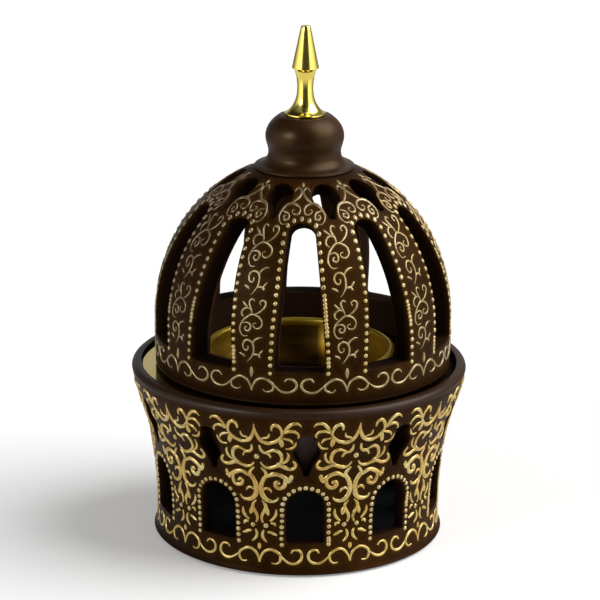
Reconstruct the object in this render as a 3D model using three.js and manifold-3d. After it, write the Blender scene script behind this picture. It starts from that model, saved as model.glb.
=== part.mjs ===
// A domed incense burner: a flared stand with arches, a drop-in basin, a metal tray
// and charcoal cup, and a pierced dome lid with a turned knob and a screwed-on finial.
// Units are millimetres, +Z is up, and the origin is the middle of the underside.

import * as THREE from "three";
import { mergeVertices } from "three/addons/utils/BufferGeometryUtils.js";
import ManifoldModule from "manifold-3d";

const wasm = await ManifoldModule();
wasm.setup();

// Clearances
const seatGap = 0.3; // between two parts that rest on each other or fit into each other
const cutOverrun = 1.5; // how far a cutter reaches past the wall that it opens
const lidPlay = 3.75; // all round the dome, inside the stand's rim
const trayPlay = 1.7; // all round the tray, in the stand's recess
const cupPlay = 4; // all round the cup's floor, on the tray's floor

// How many, and how fine
const bayCount = 10;
const shellSteps = 50;
const smallSteps = 32;
const studSteps = 16;
const curveSteps = 9;
const cupSteps = 6;
const archSteps = 6;
const filletSteps = 3;
const bay = (2 * Math.PI) / bayCount;

// Stand
const feltThickness = 1.5;
const feltMargin = 2;
const floorThickness = 3;
const footGap = 0.6; // the stand's edge above the surface, because it rests on its felt
const footInset = 0.35; // how much narrower the stand's foot is than the lid
const waistInset = 1.6; // and how much its waist steps in from its foot
const waistHeight = 11;
const baseHeight = 66;
const baseWall = 6;
const straightInside = 22; // height where the stand's inside wall starts to follow the flare
const rimWidth = 3.75;
const rimFillet = 2;
const rimInnerFillet = 1.5;
const recessDepth = 2.8;
const ledgeThickness = 2;
const ledgeSlant = 2;
const ledgeWidth = 3;

// Openings in the stand
const archHalfWidth = 7.05;
const archSill = 12.5;
const archHeight = 20.9;
const ogeeHalfWidth = 4.9;
const ogeeHeight = 16.9;
const ogeeAboveArch = 5.9;

// Basin that drops into the stand
const basinFlange = 2.5;
const basinFlangeWidth = 6.9;
const basinWall = 4;
const basinDraft = 3.3;
const basinFoot = 34;

// Tray and charcoal cup
const trayThickness = 1;
const trayWellDepth = 10.5;
const trayWellDraft = 3;
const trayFlangeWidth = 12.8;
const cupWall = 1;
const cupRimRadius = 34.3;
const cupRimBead = 1.3;
const cupHeight = 16.9;
const cupFloorRadius = 24;

// Dome lid
const domeRadius = 54.75;
const domeWall = 8.5;
const crownWall = 7.5;
const domeSkirt = 19.2;
const domeRise = 58.6;
const domeFootInset = 4; // the wall's lower edge is cut back, so that its foot stays clear of the rim
const domeFootHeight = 1.6;
const domeShift = 1.4; // the lid stands a little off centre in its recess
const domeTurn = THREE.MathUtils.degToRad(4.4); // and is turned a little against the stand

// Openings in the dome
const windowRise = 12.8;
const windowHalfWidth = 9.3;
const windowHeadRadius = 5;
const windowTaperPower = 1.5;
const windowTiltShare = 0.55;
const windowReach = 14; // a tall flat-faced cutter starts this far outside the bulging wall
const petalHalfWidth = 5;
const petalHeight = 9.3;
const petalAboveWindow = 1;
const petalBelowKnob = 1.23; // from the knob's seat down to the small openings' tops
const petalTiltShare = 1;

// Knob, finial and what holds them
const knobSkirtRadius = 18.3;
const knobSkirtEdge = 0.5;
const knobRadius = 14.4;
const knobNeckRadius = 13.3;
const knobNeckHeight = 5.7;
const knobBellyHeight = 11.5;
const knobDomeRise = 10.2;
const knobTopHeight = 19.2;
const finialHeight = 32.5;
const finialFootRadius = 7.5;
const finialFootEdge = 0.6;
const finialNeckRadius = 2.92;
const finialNeckHeight = 9.6;
const finialCollarRadius = 4.93;
const finialUndercutRadius = 4.04;
const finialCollarHeight = 17.2;
const finialUndercut = 1;
const finialTipRadius = 1.7;
const finialBoreDepth = 6;
const studRadius = 2;
const studEnd = 1.5;
const washerRadius = 6;
const washerThickness = 1;
const nutAcross = 7;
const nutThickness = 3.2;
const crownFlatRadius = 8;

// Outlines as shares of the sizes that they follow
const flareShares = [[0, 0], [0.16, 0.02], [0.3, 0.084], [0.46, 0.19], [0.6, 0.34], [0.75, 0.6],
  [0.9, 0.87], [1, 1]];
const ogeeShares = [[0, 0], [0.16, 0], [0.3, 0.12], [0.52, 0.27], [0.92, 0.46], [1, 0.53], [0.98, 0.62],
  [0.68, 0.8], [0.6, 0.9], [0.58, 0.96], [0, 1]];
const petalShares = [[0, 0], [0.26, 0], [0.34, 0.16], [0.6, 0.31], [0.92, 0.46], [1, 0.57], [0.98, 0.68],
  [0.86, 0.81], [0.62, 0.92], [0, 1]];
const knobSkirtShares = [[0, 1], [0.1, 0.64], [0.23, 0.44], [0.46, 0.2], [0.73, 0.04], [1, 0]];
const finialFlareShares = [[0, 1], [0.08, 0.78], [0.18, 0.6], [0.34, 0.4], [0.51, 0.2], [0.75, 0.04],
  [1, 0]];

// Places that follow from the sizes above, from the bottom up
const holeRadius = studRadius + seatGap;
const floorBottom = feltThickness + seatGap;
const footRadius = domeRadius - footInset;
const waistRadius = footRadius - waistInset;
const cavityRadius = footRadius - baseWall;
const recessRadius = domeRadius + lidPlay;
const rimRadius = recessRadius + rimWidth;
const recessFloor = baseHeight - recessDepth;
const shoulderHeight = baseHeight - rimFillet;
const rebateFloor = recessFloor - basinFlange - seatGap;
const trayBottom = recessFloor + seatGap;
const trayTop = trayBottom + trayThickness;
const trayRadius = recessRadius - trayPlay;
const trayShift = seatGap - trayPlay; // the tray has slid over to the left side of the recess
const trayWellRadius = trayRadius - trayFlangeWidth;
const trayFloorRadius = Math.max(trayWellRadius - trayWellDraft, cupFloorRadius + cupPlay);
const trayWellTop = trayTop - trayWellDepth;
const rebateRadius = recessRadius - rimWidth;
const basinRadius = rebateRadius - seatGap;
const basinBodyRadius = basinRadius - ledgeWidth - seatGap;
const ledgeRadius = basinBodyRadius + seatGap;
const basinMouthRadius = basinRadius - basinFlangeWidth;
const cupBottom = trayWellTop + seatGap;
const cupTop = cupBottom + cupHeight;
const domeBottom = trayTop + seatGap;
const domeSpring = domeBottom + domeSkirt;
const domeInnerRadius = domeRadius - domeWall;
const domeInnerRise = domeRise - crownWall;
const windowSill = domeBottom + windowRise;

/** Height of a half ellipse over its springing line, at a distance from its middle. */
function ellipseHeight(radius, rise, distance) {
  return rise * Math.sqrt(Math.max(0, 1 - (distance / radius) ** 2));
}

const crownSeat = domeSpring + ellipseHeight(domeRadius, domeRise, knobSkirtRadius);
const crownFlat = domeSpring + ellipseHeight(domeInnerRadius, domeInnerRise, crownFlatRadius);
const petalFoot = crownSeat - petalBelowKnob - petalHeight;
const windowApex = petalFoot - petalAboveWindow;
const knobBottom = crownSeat + seatGap;
const knobTop = knobBottom + knobTopHeight;
const finialBottom = knobTop + seatGap;
const washerBottom = crownFlat - seatGap - washerThickness;
const nutBottom = washerBottom - seatGap - nutThickness;
const studBottom = nutBottom - studEnd;
const studTop = finialBottom + finialBoreDepth - seatGap;

const point = (radius, height) => new THREE.Vector2(radius, height);

/** Points of an arc, from one angle to another, in a section's plane. */
function arc(centre, radiusAcross, radiusUp, from, to, steps) {
  return Array.from({ length: steps + 1 }, (_, i) => {
    const angle = from + ((to - from) * i) / steps;
    return point(centre.x + radiusAcross * Math.cos(angle), centre.y + radiusUp * Math.sin(angle));
  });
}

/** Radius of an outline, listed from the bottom up, at one height. */
function radiusAt(outline, height) {
  const next = outline.findIndex((p) => p.y > height);
  if (next < 1) return next === 0 ? outline[0].x : outline[outline.length - 1].x;
  const low = outline[next - 1];
  const high = outline[next];
  return low.x + ((high.x - low.x) * (height - low.y)) / (high.y - low.y);
}

/** A geometry as a solid: shared corners are merged and flat slivers on the axis dropped. */
function solid(geometry) {
  const bare = geometry.clone();
  bare.deleteAttribute("normal");
  bare.deleteAttribute("uv");
  const merged = mergeVertices(bare, seatGap / 1000);
  const corners = merged.getIndex().array;
  const triangles = [];
  for (let i = 0; i < corners.length; i += 3) {
    const [a, b, c] = [corners[i], corners[i + 1], corners[i + 2]];
    if (a !== b && b !== c && a !== c) triangles.push(a, b, c);
  }
  const places = Float32Array.from(merged.getAttribute("position").array);
  if (signedVolume(places, triangles) < 0) triangles.reverse();
  return new wasm.Manifold(
    new wasm.Mesh({ numProp: 3, vertProperties: places, triVerts: Uint32Array.from(triangles) }),
  );
}

/** Six times the volume inside a list of triangles, negative when they face inwards. */
function signedVolume(places, triangles) {
  const corner = (i) => new THREE.Vector3().fromArray(places, triangles[i] * 3);
  let sum = 0;
  for (let i = 0; i < triangles.length; i += 3) {
    sum += corner(i).dot(corner(i + 1).cross(corner(i + 2)));
  }
  return sum;
}

/** A solid turned round the Z axis from a closed section of points (radius, height). */
function turned(section, steps) {
  const geometry = new THREE.LatheGeometry([...section, section[0]], steps);
  geometry.rotateX(Math.PI / 2);
  return solid(geometry);
}

/** A solid back to a geometry that a mesh can show. */
function geometryOf(body) {
  const { vertProperties, triVerts } = body.getMesh();
  const geometry = new THREE.BufferGeometry();
  geometry.setAttribute("position", new THREE.BufferAttribute(Float32Array.from(vertProperties), 3));
  geometry.setIndex(new THREE.BufferAttribute(Uint32Array.from(triVerts), 1));
  geometry.computeVertexNormals();
  return geometry;
}

/**
 * A cutter for one opening in a round wall. The outline is drawn flat, as distance along
 * the wall and height, then wrapped round the axis, so its sides run towards the axis.
 * It starts outside the wall by its reach and runs in by the depth. The tilt at each
 * height says how steeply the cut falls on its way in.
 */
function wrappedCutter(outline, wallRadius, reach, depth, tilt, angle) {
  const length = reach + depth + cutOverrun;
  const geometry = new THREE.ExtrudeGeometry(new THREE.Shape(outline), {
    depth: length,
    bevelEnabled: false,
    steps: 1,
  });
  const places = geometry.getAttribute("position");
  for (let i = 0; i < places.count; i += 1) {
    const height = places.getY(i);
    const radius = wallRadius(height);
    const turn = angle + places.getX(i) / radius;
    const fall = tilt(height);
    const inward = (places.getZ(i) - reach) / Math.hypot(1, fall);
    const distance = radius - inward;
    places.setXYZ(i, distance * Math.sin(turn), -distance * Math.cos(turn), height - inward * fall);
  }
  return solid(geometry);
}

/** The same opening in every bay of a wall. */
function everyBay(outline, wallRadius, reach, depth, tilt, firstAngle) {
  return Array.from({ length: bayCount }, (_, i) =>
    wrappedCutter(outline, wallRadius, reach, depth, tilt, firstAngle + i * bay));
}

/** A body with a list of cutters taken out of it. */
function cut(body, cutters) {
  return cutters.reduce((rest, cutter) => rest.subtract(cutter), body);
}

/** Both sides of an outline given as shares of its half width and height, from its foot up. */
function mirroredOutline(shares, halfWidth, foot, height) {
  const right = shares.map(([across, up]) => point(across * halfWidth, foot + up * height));
  const left = right.slice(1, -1).reverse().map((p) => point(-p.x, p.y));
  return [...right, ...left];
}

// Stand: outline of its outside, from the foot to the shoulder under the rim

/** The stand's flare, from its waist up to the shoulder under the rim. */
function flareOutline() {
  const spread = rimRadius - waistRadius;
  const climb = shoulderHeight - waistHeight;
  const marks = flareShares.map(([up, out]) => point(waistRadius + out * spread, waistHeight + up * climb));
  return new THREE.SplineCurve(marks).getPoints(curveSteps);
}

const flare = flareOutline();
const footCurve = arc(
  point(footRadius, waistHeight), footRadius - waistRadius, waistHeight - footGap,
  -Math.PI / 2, -Math.PI, filletSteps,
);
const standOutside = [...footCurve.slice(0, -1), ...flare];
const standRadius = (height) => radiusAt(standOutside, height);

function baseShell() {
  const ledgeUnderside = rebateFloor - ledgeThickness;
  const cavityCurve = flare
    .filter((p) => p.y < ledgeUnderside - ledgeSlant && p.x - baseWall > cavityRadius)
    .map((p) => point(p.x - baseWall, p.y));
  const outerFillet = arc(
    point(rimRadius - rimFillet, shoulderHeight), rimFillet, rimFillet, 0, Math.PI / 2, filletSteps,
  );
  const innerFillet = arc(
    point(recessRadius + rimInnerFillet, baseHeight - rimInnerFillet), rimInnerFillet, rimInnerFillet,
    Math.PI / 2, Math.PI, filletSteps - 1,
  );
  const section = [
    point(cavityRadius, footGap),
    ...standOutside.slice(0, -1),
    ...outerFillet,
    ...innerFillet,
    point(recessRadius, recessFloor),
    point(rebateRadius, recessFloor),
    point(rebateRadius, rebateFloor),
    point(ledgeRadius, rebateFloor),
    point(ledgeRadius, ledgeUnderside),
    point(standRadius(ledgeUnderside - ledgeSlant) - baseWall, ledgeUnderside - ledgeSlant),
    ...cavityCurve.reverse(),
    point(cavityRadius, straightInside),
  ];
  return cut(turned(section, shellSteps), [...archCutters(), ...ogeeCutters()]);
}

const level = () => 0;

function archOutline() {
  const spring = archSill + archHeight - archHalfWidth;
  return [
    point(-archHalfWidth, archSill),
    point(archHalfWidth, archSill),
    ...arc(point(0, spring), archHalfWidth, archHalfWidth, 0, Math.PI, archSteps),
  ];
}

function archCutters() {
  return everyBay(archOutline(), standRadius, cutOverrun, baseWall, level, 0);
}

function ogeeCutters() {
  const foot = archSill + archHeight + ogeeAboveArch;
  const outline = mirroredOutline(ogeeShares, ogeeHalfWidth, foot, ogeeHeight);
  return everyBay(outline, standRadius, cutOverrun, baseWall, level, 0);
}

function baseFloor() {
  const radius = cavityRadius - seatGap;
  return turned([
    point(0, floorBottom),
    point(radius, floorBottom),
    point(radius, floorBottom + floorThickness),
    point(0, floorBottom + floorThickness),
  ], shellSteps);
}

function baseFelt() {
  const radius = cavityRadius - seatGap - feltMargin;
  return turned([
    point(0, 0),
    point(radius, 0),
    point(radius, feltThickness),
    point(0, feltThickness),
  ], shellSteps);
}

function basin() {
  const flangeBottom = recessFloor - basinFlange;
  return turned([
    point(0, basinFoot),
    point(basinBodyRadius - basinDraft, basinFoot),
    point(basinBodyRadius, flangeBottom - seatGap - ledgeThickness),
    point(basinBodyRadius, flangeBottom),
    point(basinRadius, flangeBottom),
    point(basinRadius, recessFloor),
    point(basinMouthRadius, recessFloor),
    point(basinMouthRadius - basinDraft, basinFoot + basinWall),
    point(0, basinFoot + basinWall),
  ], shellSteps);
}

function tray() {
  return turned([
    point(0, trayWellTop - trayThickness),
    point(trayFloorRadius, trayWellTop - trayThickness),
    point(trayWellRadius, trayBottom),
    point(trayRadius, trayBottom),
    point(trayRadius, trayTop),
    point(trayWellRadius - trayThickness, trayTop),
    point(trayFloorRadius - trayThickness, trayWellTop),
    point(0, trayWellTop),
  ], shellSteps);
}

function cup() {
  const beadCentre = point(cupRimRadius, cupTop - cupRimBead);
  const swell = cupRimRadius - cupFloorRadius;
  const rise = beadCentre.y - cupBottom;
  const outside = arc(
    point(cupFloorRadius, beadCentre.y), swell, rise, -Math.PI / 2, 0, cupSteps,
  ).slice(0, -1);
  const inside = arc(
    point(cupFloorRadius, beadCentre.y), swell - cupWall, rise - cupWall, 0, -Math.PI / 2, cupSteps,
  ).slice(1);
  const bead = arc(beadCentre, cupRimBead, cupRimBead, -Math.PI / 2, Math.PI, cupSteps);
  const floor = point(0, cupBottom + cupWall);
  return turned([point(0, cupBottom), ...outside, ...bead, ...inside, floor], smallSteps);
}

// Dome: outline of its outside, and the openings cut through it

const domeArc = arc(
  point(0, domeSpring), domeRadius, domeRise, 0, Math.acos(knobSkirtRadius / domeRadius), curveSteps,
);
const domeOutside = [
  point(domeRadius - domeFootInset, domeBottom),
  point(domeRadius, domeBottom + domeFootHeight),
  ...domeArc,
];

function domeOuterRadius(height) {
  if (height <= domeSpring) return domeRadius;
  return domeRadius * Math.sqrt(Math.max(0, 1 - ((height - domeSpring) / domeRise) ** 2));
}

/** How steeply a line square to the dome falls on its way in, at one height. */
function domeFall(height) {
  if (height <= domeSpring) return 0;
  return ((height - domeSpring) / domeRise ** 2) * (domeRadius ** 2 / domeOuterRadius(height));
}

function windowOutline() {
  const headCentre = windowApex - windowHeadRadius * Math.cos(Math.atan(domeFall(windowApex)));
  const headRise = windowApex - headCentre;
  const taper = windowHalfWidth - windowHeadRadius;
  const side = Array.from({ length: archSteps }, (_, i) => {
    const share = i / archSteps;
    return point(
      windowHalfWidth - taper * share ** windowTaperPower,
      windowSill + (headCentre - windowSill) * share,
    );
  });
  const head = arc(point(0, headCentre), windowHeadRadius, headRise, 0, Math.PI, archSteps);
  return [...side, ...head, ...side.map((p) => point(-p.x, p.y)).reverse()];
}

function domeLid() {
  const innerStart = Math.acos(crownFlatRadius / domeInnerRadius);
  const innerArc = arc(
    point(0, domeSpring), domeInnerRadius, domeInnerRise, innerStart, 0, curveSteps,
  );
  const section = [
    ...domeOutside,
    point(holeRadius, crownSeat),
    point(holeRadius, crownFlat),
    ...innerArc,
    point(domeInnerRadius, domeBottom),
  ];
  const windowFall = (height) => windowTiltShare * domeFall(height);
  const petalFall = (height) => petalTiltShare * domeFall(height);
  const petal = mirroredOutline(petalShares, petalHalfWidth, petalFoot, petalHeight);
  const windows = everyBay(
    windowOutline(), domeOuterRadius, windowReach, domeWall + domeWall / 2, windowFall, 0,
  );
  const petals = everyBay(petal, domeOuterRadius, cutOverrun, crownWall + cutOverrun, petalFall, bay / 2);
  return cut(turned(section, shellSteps), [...windows, ...petals]);
}

function knob() {
  const skirtSpread = knobSkirtRadius - knobNeckRadius;
  const skirtRise = knobNeckHeight - knobSkirtEdge;
  const skirt = knobSkirtShares.map(([up, out]) =>
    point(knobNeckRadius + out * skirtSpread, knobBottom + knobSkirtEdge + up * skirtRise));
  const belly = knobBottom + knobBellyHeight;
  const swell = knobRadius - knobNeckRadius;
  const rise = knobBellyHeight - knobNeckHeight;
  const lower = Array.from({ length: filletSteps }, (_, i) => {
    const share = (i + 1) / filletSteps;
    const out = (1 - Math.cos(Math.PI * share)) / 2;
    return point(knobNeckRadius + swell * out, knobBottom + knobNeckHeight + rise * share);
  });
  const topAngle = Math.asin((knobTop - belly) / knobDomeRise);
  const upper = arc(point(0, belly), knobRadius, knobDomeRise, 0, topAngle, archSteps).slice(1);
  return turned([
    point(holeRadius, knobBottom),
    point(knobSkirtRadius, knobBottom),
    ...skirt,
    ...lower,
    ...upper,
    point(holeRadius, knobTop),
  ], smallSteps);
}

function finial() {
  const flareRise = finialNeckHeight - finialFootEdge;
  const foot = finialFlareShares.map(([up, out]) =>
    point(
      finialNeckRadius + out * (finialFootRadius - finialNeckRadius),
      finialBottom + finialFootEdge + up * flareRise,
    ));
  return turned([
    point(holeRadius, finialBottom),
    point(finialFootRadius, finialBottom),
    ...foot,
    point(finialUndercutRadius, finialBottom + finialCollarHeight - finialUndercut),
    point(finialCollarRadius, finialBottom + finialCollarHeight),
    point(finialTipRadius, finialBottom + finialHeight),
    point(0, finialBottom + finialHeight),
    point(0, finialBottom + finialBoreDepth),
    point(holeRadius, finialBottom + finialBoreDepth),
  ], smallSteps);
}

function finialStud() {
  return turned([
    point(0, studBottom),
    point(studRadius, studBottom),
    point(studRadius, studTop),
    point(0, studTop),
  ], studSteps);
}

function crownWasher() {
  return turned([
    point(holeRadius, washerBottom),
    point(washerRadius, washerBottom),
    point(washerRadius, washerBottom + washerThickness),
    point(holeRadius, washerBottom + washerThickness),
  ], studSteps);
}

function crownNut() {
  const corner = nutAcross / Math.sqrt(3);
  const block = new THREE.CylinderGeometry(corner, corner, nutThickness, 6);
  block.rotateX(Math.PI / 2);
  block.translate(0, 0, nutBottom + nutThickness / 2);
  const bore = new THREE.CylinderGeometry(
    holeRadius, holeRadius, nutThickness + cutOverrun + cutOverrun, studSteps,
  );
  bore.rotateX(Math.PI / 2);
  bore.translate(0, 0, nutBottom + nutThickness / 2);
  return solid(block).subtract(solid(bore));
}

// Materials

const finish = (color, roughness, metalness) =>
  new THREE.MeshStandardMaterial({ color, roughness, metalness });
const resin = () => finish("#38220f", 0.5, 0);
const innerResin = () => finish("#2c1b0e", 0.6, 0);
const blackBoard = () => finish("#0e0d0f", 0.8, 0);
const felt = () => finish("#161414", 0.95, 0);
const goldMetal = () => finish("#c9a750", 0.3, 1);
const polishedBrass = () => finish("#e0c060", 0.12, 1);
const zincSteel = () => finish("#a8a9a6", 0.35, 1);

/** One named part of the burner. */
function part(name, body, material) {
  const mesh = new THREE.Mesh(geometryOf(body), material);
  mesh.name = name;
  return mesh;
}

const stand = new THREE.Group();
stand.add(
  part("base_shell", baseShell(), resin()),
  part("base_floor", baseFloor(), blackBoard()),
  part("base_felt", baseFelt(), felt()),
  part("basin", basin(), innerResin()),
);

const hearth = new THREE.Group();
const sheetTray = part("tray", tray(), goldMetal());
sheetTray.position.x = trayShift;
hearth.add(sheetTray, part("charcoal_cup", cup(), goldMetal()));

const lid = new THREE.Group();
lid.add(
  part("dome_lid", domeLid(), resin()),
  part("knob", knob(), resin()),
  part("finial", finial(), polishedBrass()),
  part("finial_stud", finialStud(), zincSteel()),
  part("crown_washer", crownWasher(), zincSteel()),
  part("crown_nut", crownNut(), zincSteel()),
);
lid.position.x = domeShift;
lid.rotation.z = -domeTurn;

const burner = new THREE.Group();
burner.add(stand, hearth, lid);

export default burner;
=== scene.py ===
# %% [markdown]
# # A domed incense burner
# The real burner is cast in dark brown resin: a flared stand with arches, and a pierced dome
# that lifts off. Gold paste is piped on in scrolls and rows of beads. Inside stand a gold
# metal tray and a charcoal cup, and a turned brass finial is screwed on top.
#
# This script dresses the measured parts of the burner. It begins with the parts themselves,
# the frame, because every new piece has to sit exactly where its measured part is.

import math

import bpy
import numpy as np
from mathutils import Matrix, Vector, kdtree, noise


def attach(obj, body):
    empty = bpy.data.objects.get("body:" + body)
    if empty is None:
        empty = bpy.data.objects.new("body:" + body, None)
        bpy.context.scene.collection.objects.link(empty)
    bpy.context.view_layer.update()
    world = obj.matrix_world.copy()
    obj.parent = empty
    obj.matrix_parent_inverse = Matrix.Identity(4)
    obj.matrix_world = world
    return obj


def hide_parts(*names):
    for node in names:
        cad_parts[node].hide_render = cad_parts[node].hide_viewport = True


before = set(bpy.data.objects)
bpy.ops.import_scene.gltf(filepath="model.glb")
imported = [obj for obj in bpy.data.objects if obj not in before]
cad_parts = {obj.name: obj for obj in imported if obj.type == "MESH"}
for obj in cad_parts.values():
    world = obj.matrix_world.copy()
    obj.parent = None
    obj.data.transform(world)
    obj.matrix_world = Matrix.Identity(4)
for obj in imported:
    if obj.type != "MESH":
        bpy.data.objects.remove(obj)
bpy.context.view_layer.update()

# %% [markdown]
# ## Camera
# The photograph was taken with a long lens from about 17 degrees above the horizontal. A long
# lens keeps the burner's sides nearly parallel. The camera is described by its place and its
# three axes, because a matrix built from axes needs no guessing about rotation order.

# %% Camera
MM = 0.001
CAMERA_PLACE = (0.206, -940.93, 371.35)  # mm, before the turn below
CAMERA_PITCH = 0.2921  # radians below the horizontal
CAMERA_ROLL = -0.00913
CAMERA_TURN = math.radians(-3.1)  # the burner stands turned by this much in the photograph
LENS = 158.94  # mm, on a film 36 mm wide

ahead = Vector((0, math.cos(CAMERA_PITCH), -math.sin(CAMERA_PITCH)))
level = Vector((1, 0, 0))
over = level.cross(ahead)
right = level * math.cos(CAMERA_ROLL) - over * math.sin(CAMERA_ROLL)
up = level * math.sin(CAMERA_ROLL) + over * math.cos(CAMERA_ROLL)
axes = Matrix((right, up, -ahead)).transposed().to_4x4()
turn = Matrix.Rotation(CAMERA_TURN, 4, "Z")
camera_data = bpy.data.cameras.new("photo_camera")
camera_data.lens = LENS
camera_data.sensor_width = 36
camera_data.clip_start = 0.05
camera = bpy.data.objects.new("photo_camera", camera_data)
camera.matrix_world = turn @ Matrix.Translation(Vector(CAMERA_PLACE) * MM) @ axes
bpy.context.scene.collection.objects.link(camera)
bpy.context.scene.camera = camera
print("camera at", [round(c, 3) for c in camera.matrix_world.translation])

# %% [markdown]
# ## Sizes
# These are the burner's own sizes in millimetres. Heights are above the table. Radii are from
# the burner's axis. The new pieces use the same numbers as the measured parts, so that they
# fill the same space.

# %% Sizes of the stand
BAYS = 10
BAY = 2 * math.pi / BAYS  # the angle of one bay
GAP = 0.3  # between pieces that are glued or that rest on each other
FOOT_RADIUS, FOOT_GAP = 54.4, 0.6  # the felt holds the foot this far off the table
WAIST_RADIUS, WAIST_HEIGHT = 52.8, 11
SHOULDER_HEIGHT, RIM_TOP, RIM_RADIUS = 64, 66, 62.25
RIM_FILLET, RIM_INNER_FILLET = 2, 0.6
RECESS_RADIUS, RECESS_FLOOR = 58.5, 63.2  # the tray lies on this floor
REBATE_RADIUS, REBATE_FLOOR = 54.75, 60.4  # the basin's flange lies on this one
LEDGE_RADIUS, LEDGE_UNDERSIDE, LEDGE_FOOT = 51.45, 58.4, 56.4
STAND_WALL = 6
CAVITY_RADIUS, CAVITY_STRAIGHT = 48.4, 22  # the hollow is straight up to this height
# The flare of the wall: a share of its climb, and the share of its spread that it has there.
FLARE = ((0, 0), (0.16, 0.02), (0.3, 0.084), (0.46, 0.19), (0.6, 0.34), (0.75, 0.6),
         (0.9, 0.87), (1, 1))
print("the stand is", RIM_TOP, "mm tall and", 2 * RIM_RADIUS, "mm across its rim")

# %% Sizes of the dome
DOME_RADIUS, DOME_RISE = 54.75, 58.6
DOME_INNER_RADIUS, DOME_INNER_RISE = 46.25, 51.1
DOME_WALL = DOME_RADIUS - DOME_INNER_RADIUS
DOME_BOTTOM, DOME_SPRING = 64.8, 84  # the wall is straight up to its spring
DOME_FOOT_RADIUS, DOME_EDGE = 50.75, 65.85  # under this edge the foot is cut back to its radius
DOME_SHIFT, DOME_TURN = 1.4, math.radians(-4.4)  # the lid stands a little off centre and turned
CORE_SHIFT = 0.8  # the lid's inside lies this far to the right of its outside
CROWN_RADIUS, CROWN_FLAT_RADIUS, BORE_RADIUS = 18.3, 8, 2.3


def ellipse(radius, rise, distance):
    """Height of a half ellipse above its springing line."""
    return rise * math.sqrt(max(0.0, 1 - (distance / radius) ** 2))


CROWN_SEAT = DOME_SPRING + ellipse(DOME_RADIUS, DOME_RISE, CROWN_RADIUS)
CROWN_FLAT = DOME_SPRING + ellipse(DOME_INNER_RADIUS, DOME_INNER_RISE, CROWN_FLAT_RADIUS)
print("the knob sits at", round(CROWN_SEAT, 2), "mm")

# %% [markdown]
# ## Smooth lines
# Every outline and every stroke of the ornament is given by a few points. A spline through
# the points makes the line smooth. This one passes through each point, which makes it easy
# to place: a point that is wrong is seen at once.


# %% A smooth line through points
def smooth_line(points, per=8, closed=False):
    """Points along a spline that passes through the given ones."""
    marks = np.asarray(points, float)
    count = len(marks)
    steps = count if closed else count - 1
    line = []
    for i in range(steps):
        if closed:
            a, b, c, d = (marks[(i + k) % count] for k in (-1, 0, 1, 2))
        else:
            b, c = marks[i], marks[i + 1]
            a = marks[i - 1] if i else b
            d = marks[i + 2] if i + 2 < count else c
        for t in np.arange(per) / per:
            line.append(
                0.5 * (2 * b + (c - a) * t + (2 * a - 5 * b + 4 * c - d) * t**2
                       + (3 * b - 3 * c + d - a) * t**3)
            )
    if not closed:
        line.append(marks[-1])
    return np.array(line)


def evenly(points, steps):
    """The same line with its points spread evenly along it."""
    marks = np.asarray(points, float)
    lengths = np.concatenate(([0], np.cumsum(np.hypot(*np.diff(marks, axis=0).T))))
    at = np.linspace(0, lengths[-1], steps + 1)
    return np.stack([np.interp(at, lengths, marks[:, k]) for k in (0, 1)], 1)


print("three points give a smooth line of", len(smooth_line([(0, 0), (1, 1), (2, 0)])), "points")


# %% [markdown]
# ## Round walls
# The stand and the dome are round walls with the same bay ten times round. A pattern is much
# easier to draw flat, as millimetres along the wall and height, so a wall knows how to lay
# flat work onto itself: the distance along it becomes an angle, and the height picks the
# radius. Bending a flat mesh with a modifier would also do it, but this keeps the sums in
# sight and puts every point where it is wanted.


# %% A round wall
class Wall:
    """An outline of (radius, height) pairs from the bottom up, turned round the axis."""

    def __init__(self, outline, turn=0.0, shift=0.0):
        self.r, self.z = np.asarray(outline, float).T
        self.s = np.concatenate(([0], np.cumsum(np.hypot(np.diff(self.r), np.diff(self.z)))))
        self.turn, self.shift = turn, shift

    def radius(self, z):
        return np.interp(z, self.z, self.r)

    def length(self, z):
        """Distance along the outline at a height."""
        return np.interp(z, self.z, self.s)

    def height(self, s):
        return np.interp(s, self.s, self.z)

    def slope(self, z):
        """How far the radius grows for each millimetre up."""
        step = 0.4  # mm, long enough to smooth over the outline's own points
        low = np.clip(z - step, self.z[0], self.z[-1])
        high = np.clip(z + step, self.z[0], self.z[-1])
        return (self.radius(high) - self.radius(low)) / np.maximum(high - low, 1e-6)

    def round_to_xyz(self, radius, angle, z):
        """Metres in the burner's frame from a radius, an angle and a height."""
        a = np.asarray(angle) + self.turn
        return np.stack([self.shift + radius * np.sin(a), -radius * np.cos(a), z + 0 * a], -1) * MM

    def lay(self, x, z, out=0.0, middle=0.0):
        """Where flat work at x and z ends up, out from the wall, in the bay at a middle angle."""
        slope = self.slope(z)
        square = 1 / np.hypot(1, slope)
        radius = self.radius(z)
        return self.round_to_xyz(radius + out * square, middle + x / radius, z - out * slope * square)


# %% The stand's and the dome's walls
def flare_line(wall=0.0):
    """The stand's outline over its waist, moved in by a wall."""
    spread, climb = RIM_RADIUS - WAIST_RADIUS, SHOULDER_HEIGHT - WAIST_HEIGHT
    marks = [(WAIST_RADIUS + out * spread - wall, WAIST_HEIGHT + rise * climb) for rise, out in FLARE]
    return smooth_line(marks, 12)


def foot_line():
    """The stand's outline from its foot in to the waist, a quarter of an ellipse."""
    angles = np.linspace(-math.pi / 2, -math.pi, 16)
    across, rise = FOOT_RADIUS - WAIST_RADIUS, WAIST_HEIGHT - FOOT_GAP
    return np.stack([FOOT_RADIUS + across * np.cos(angles), WAIST_HEIGHT + rise * np.sin(angles)], 1)


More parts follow.
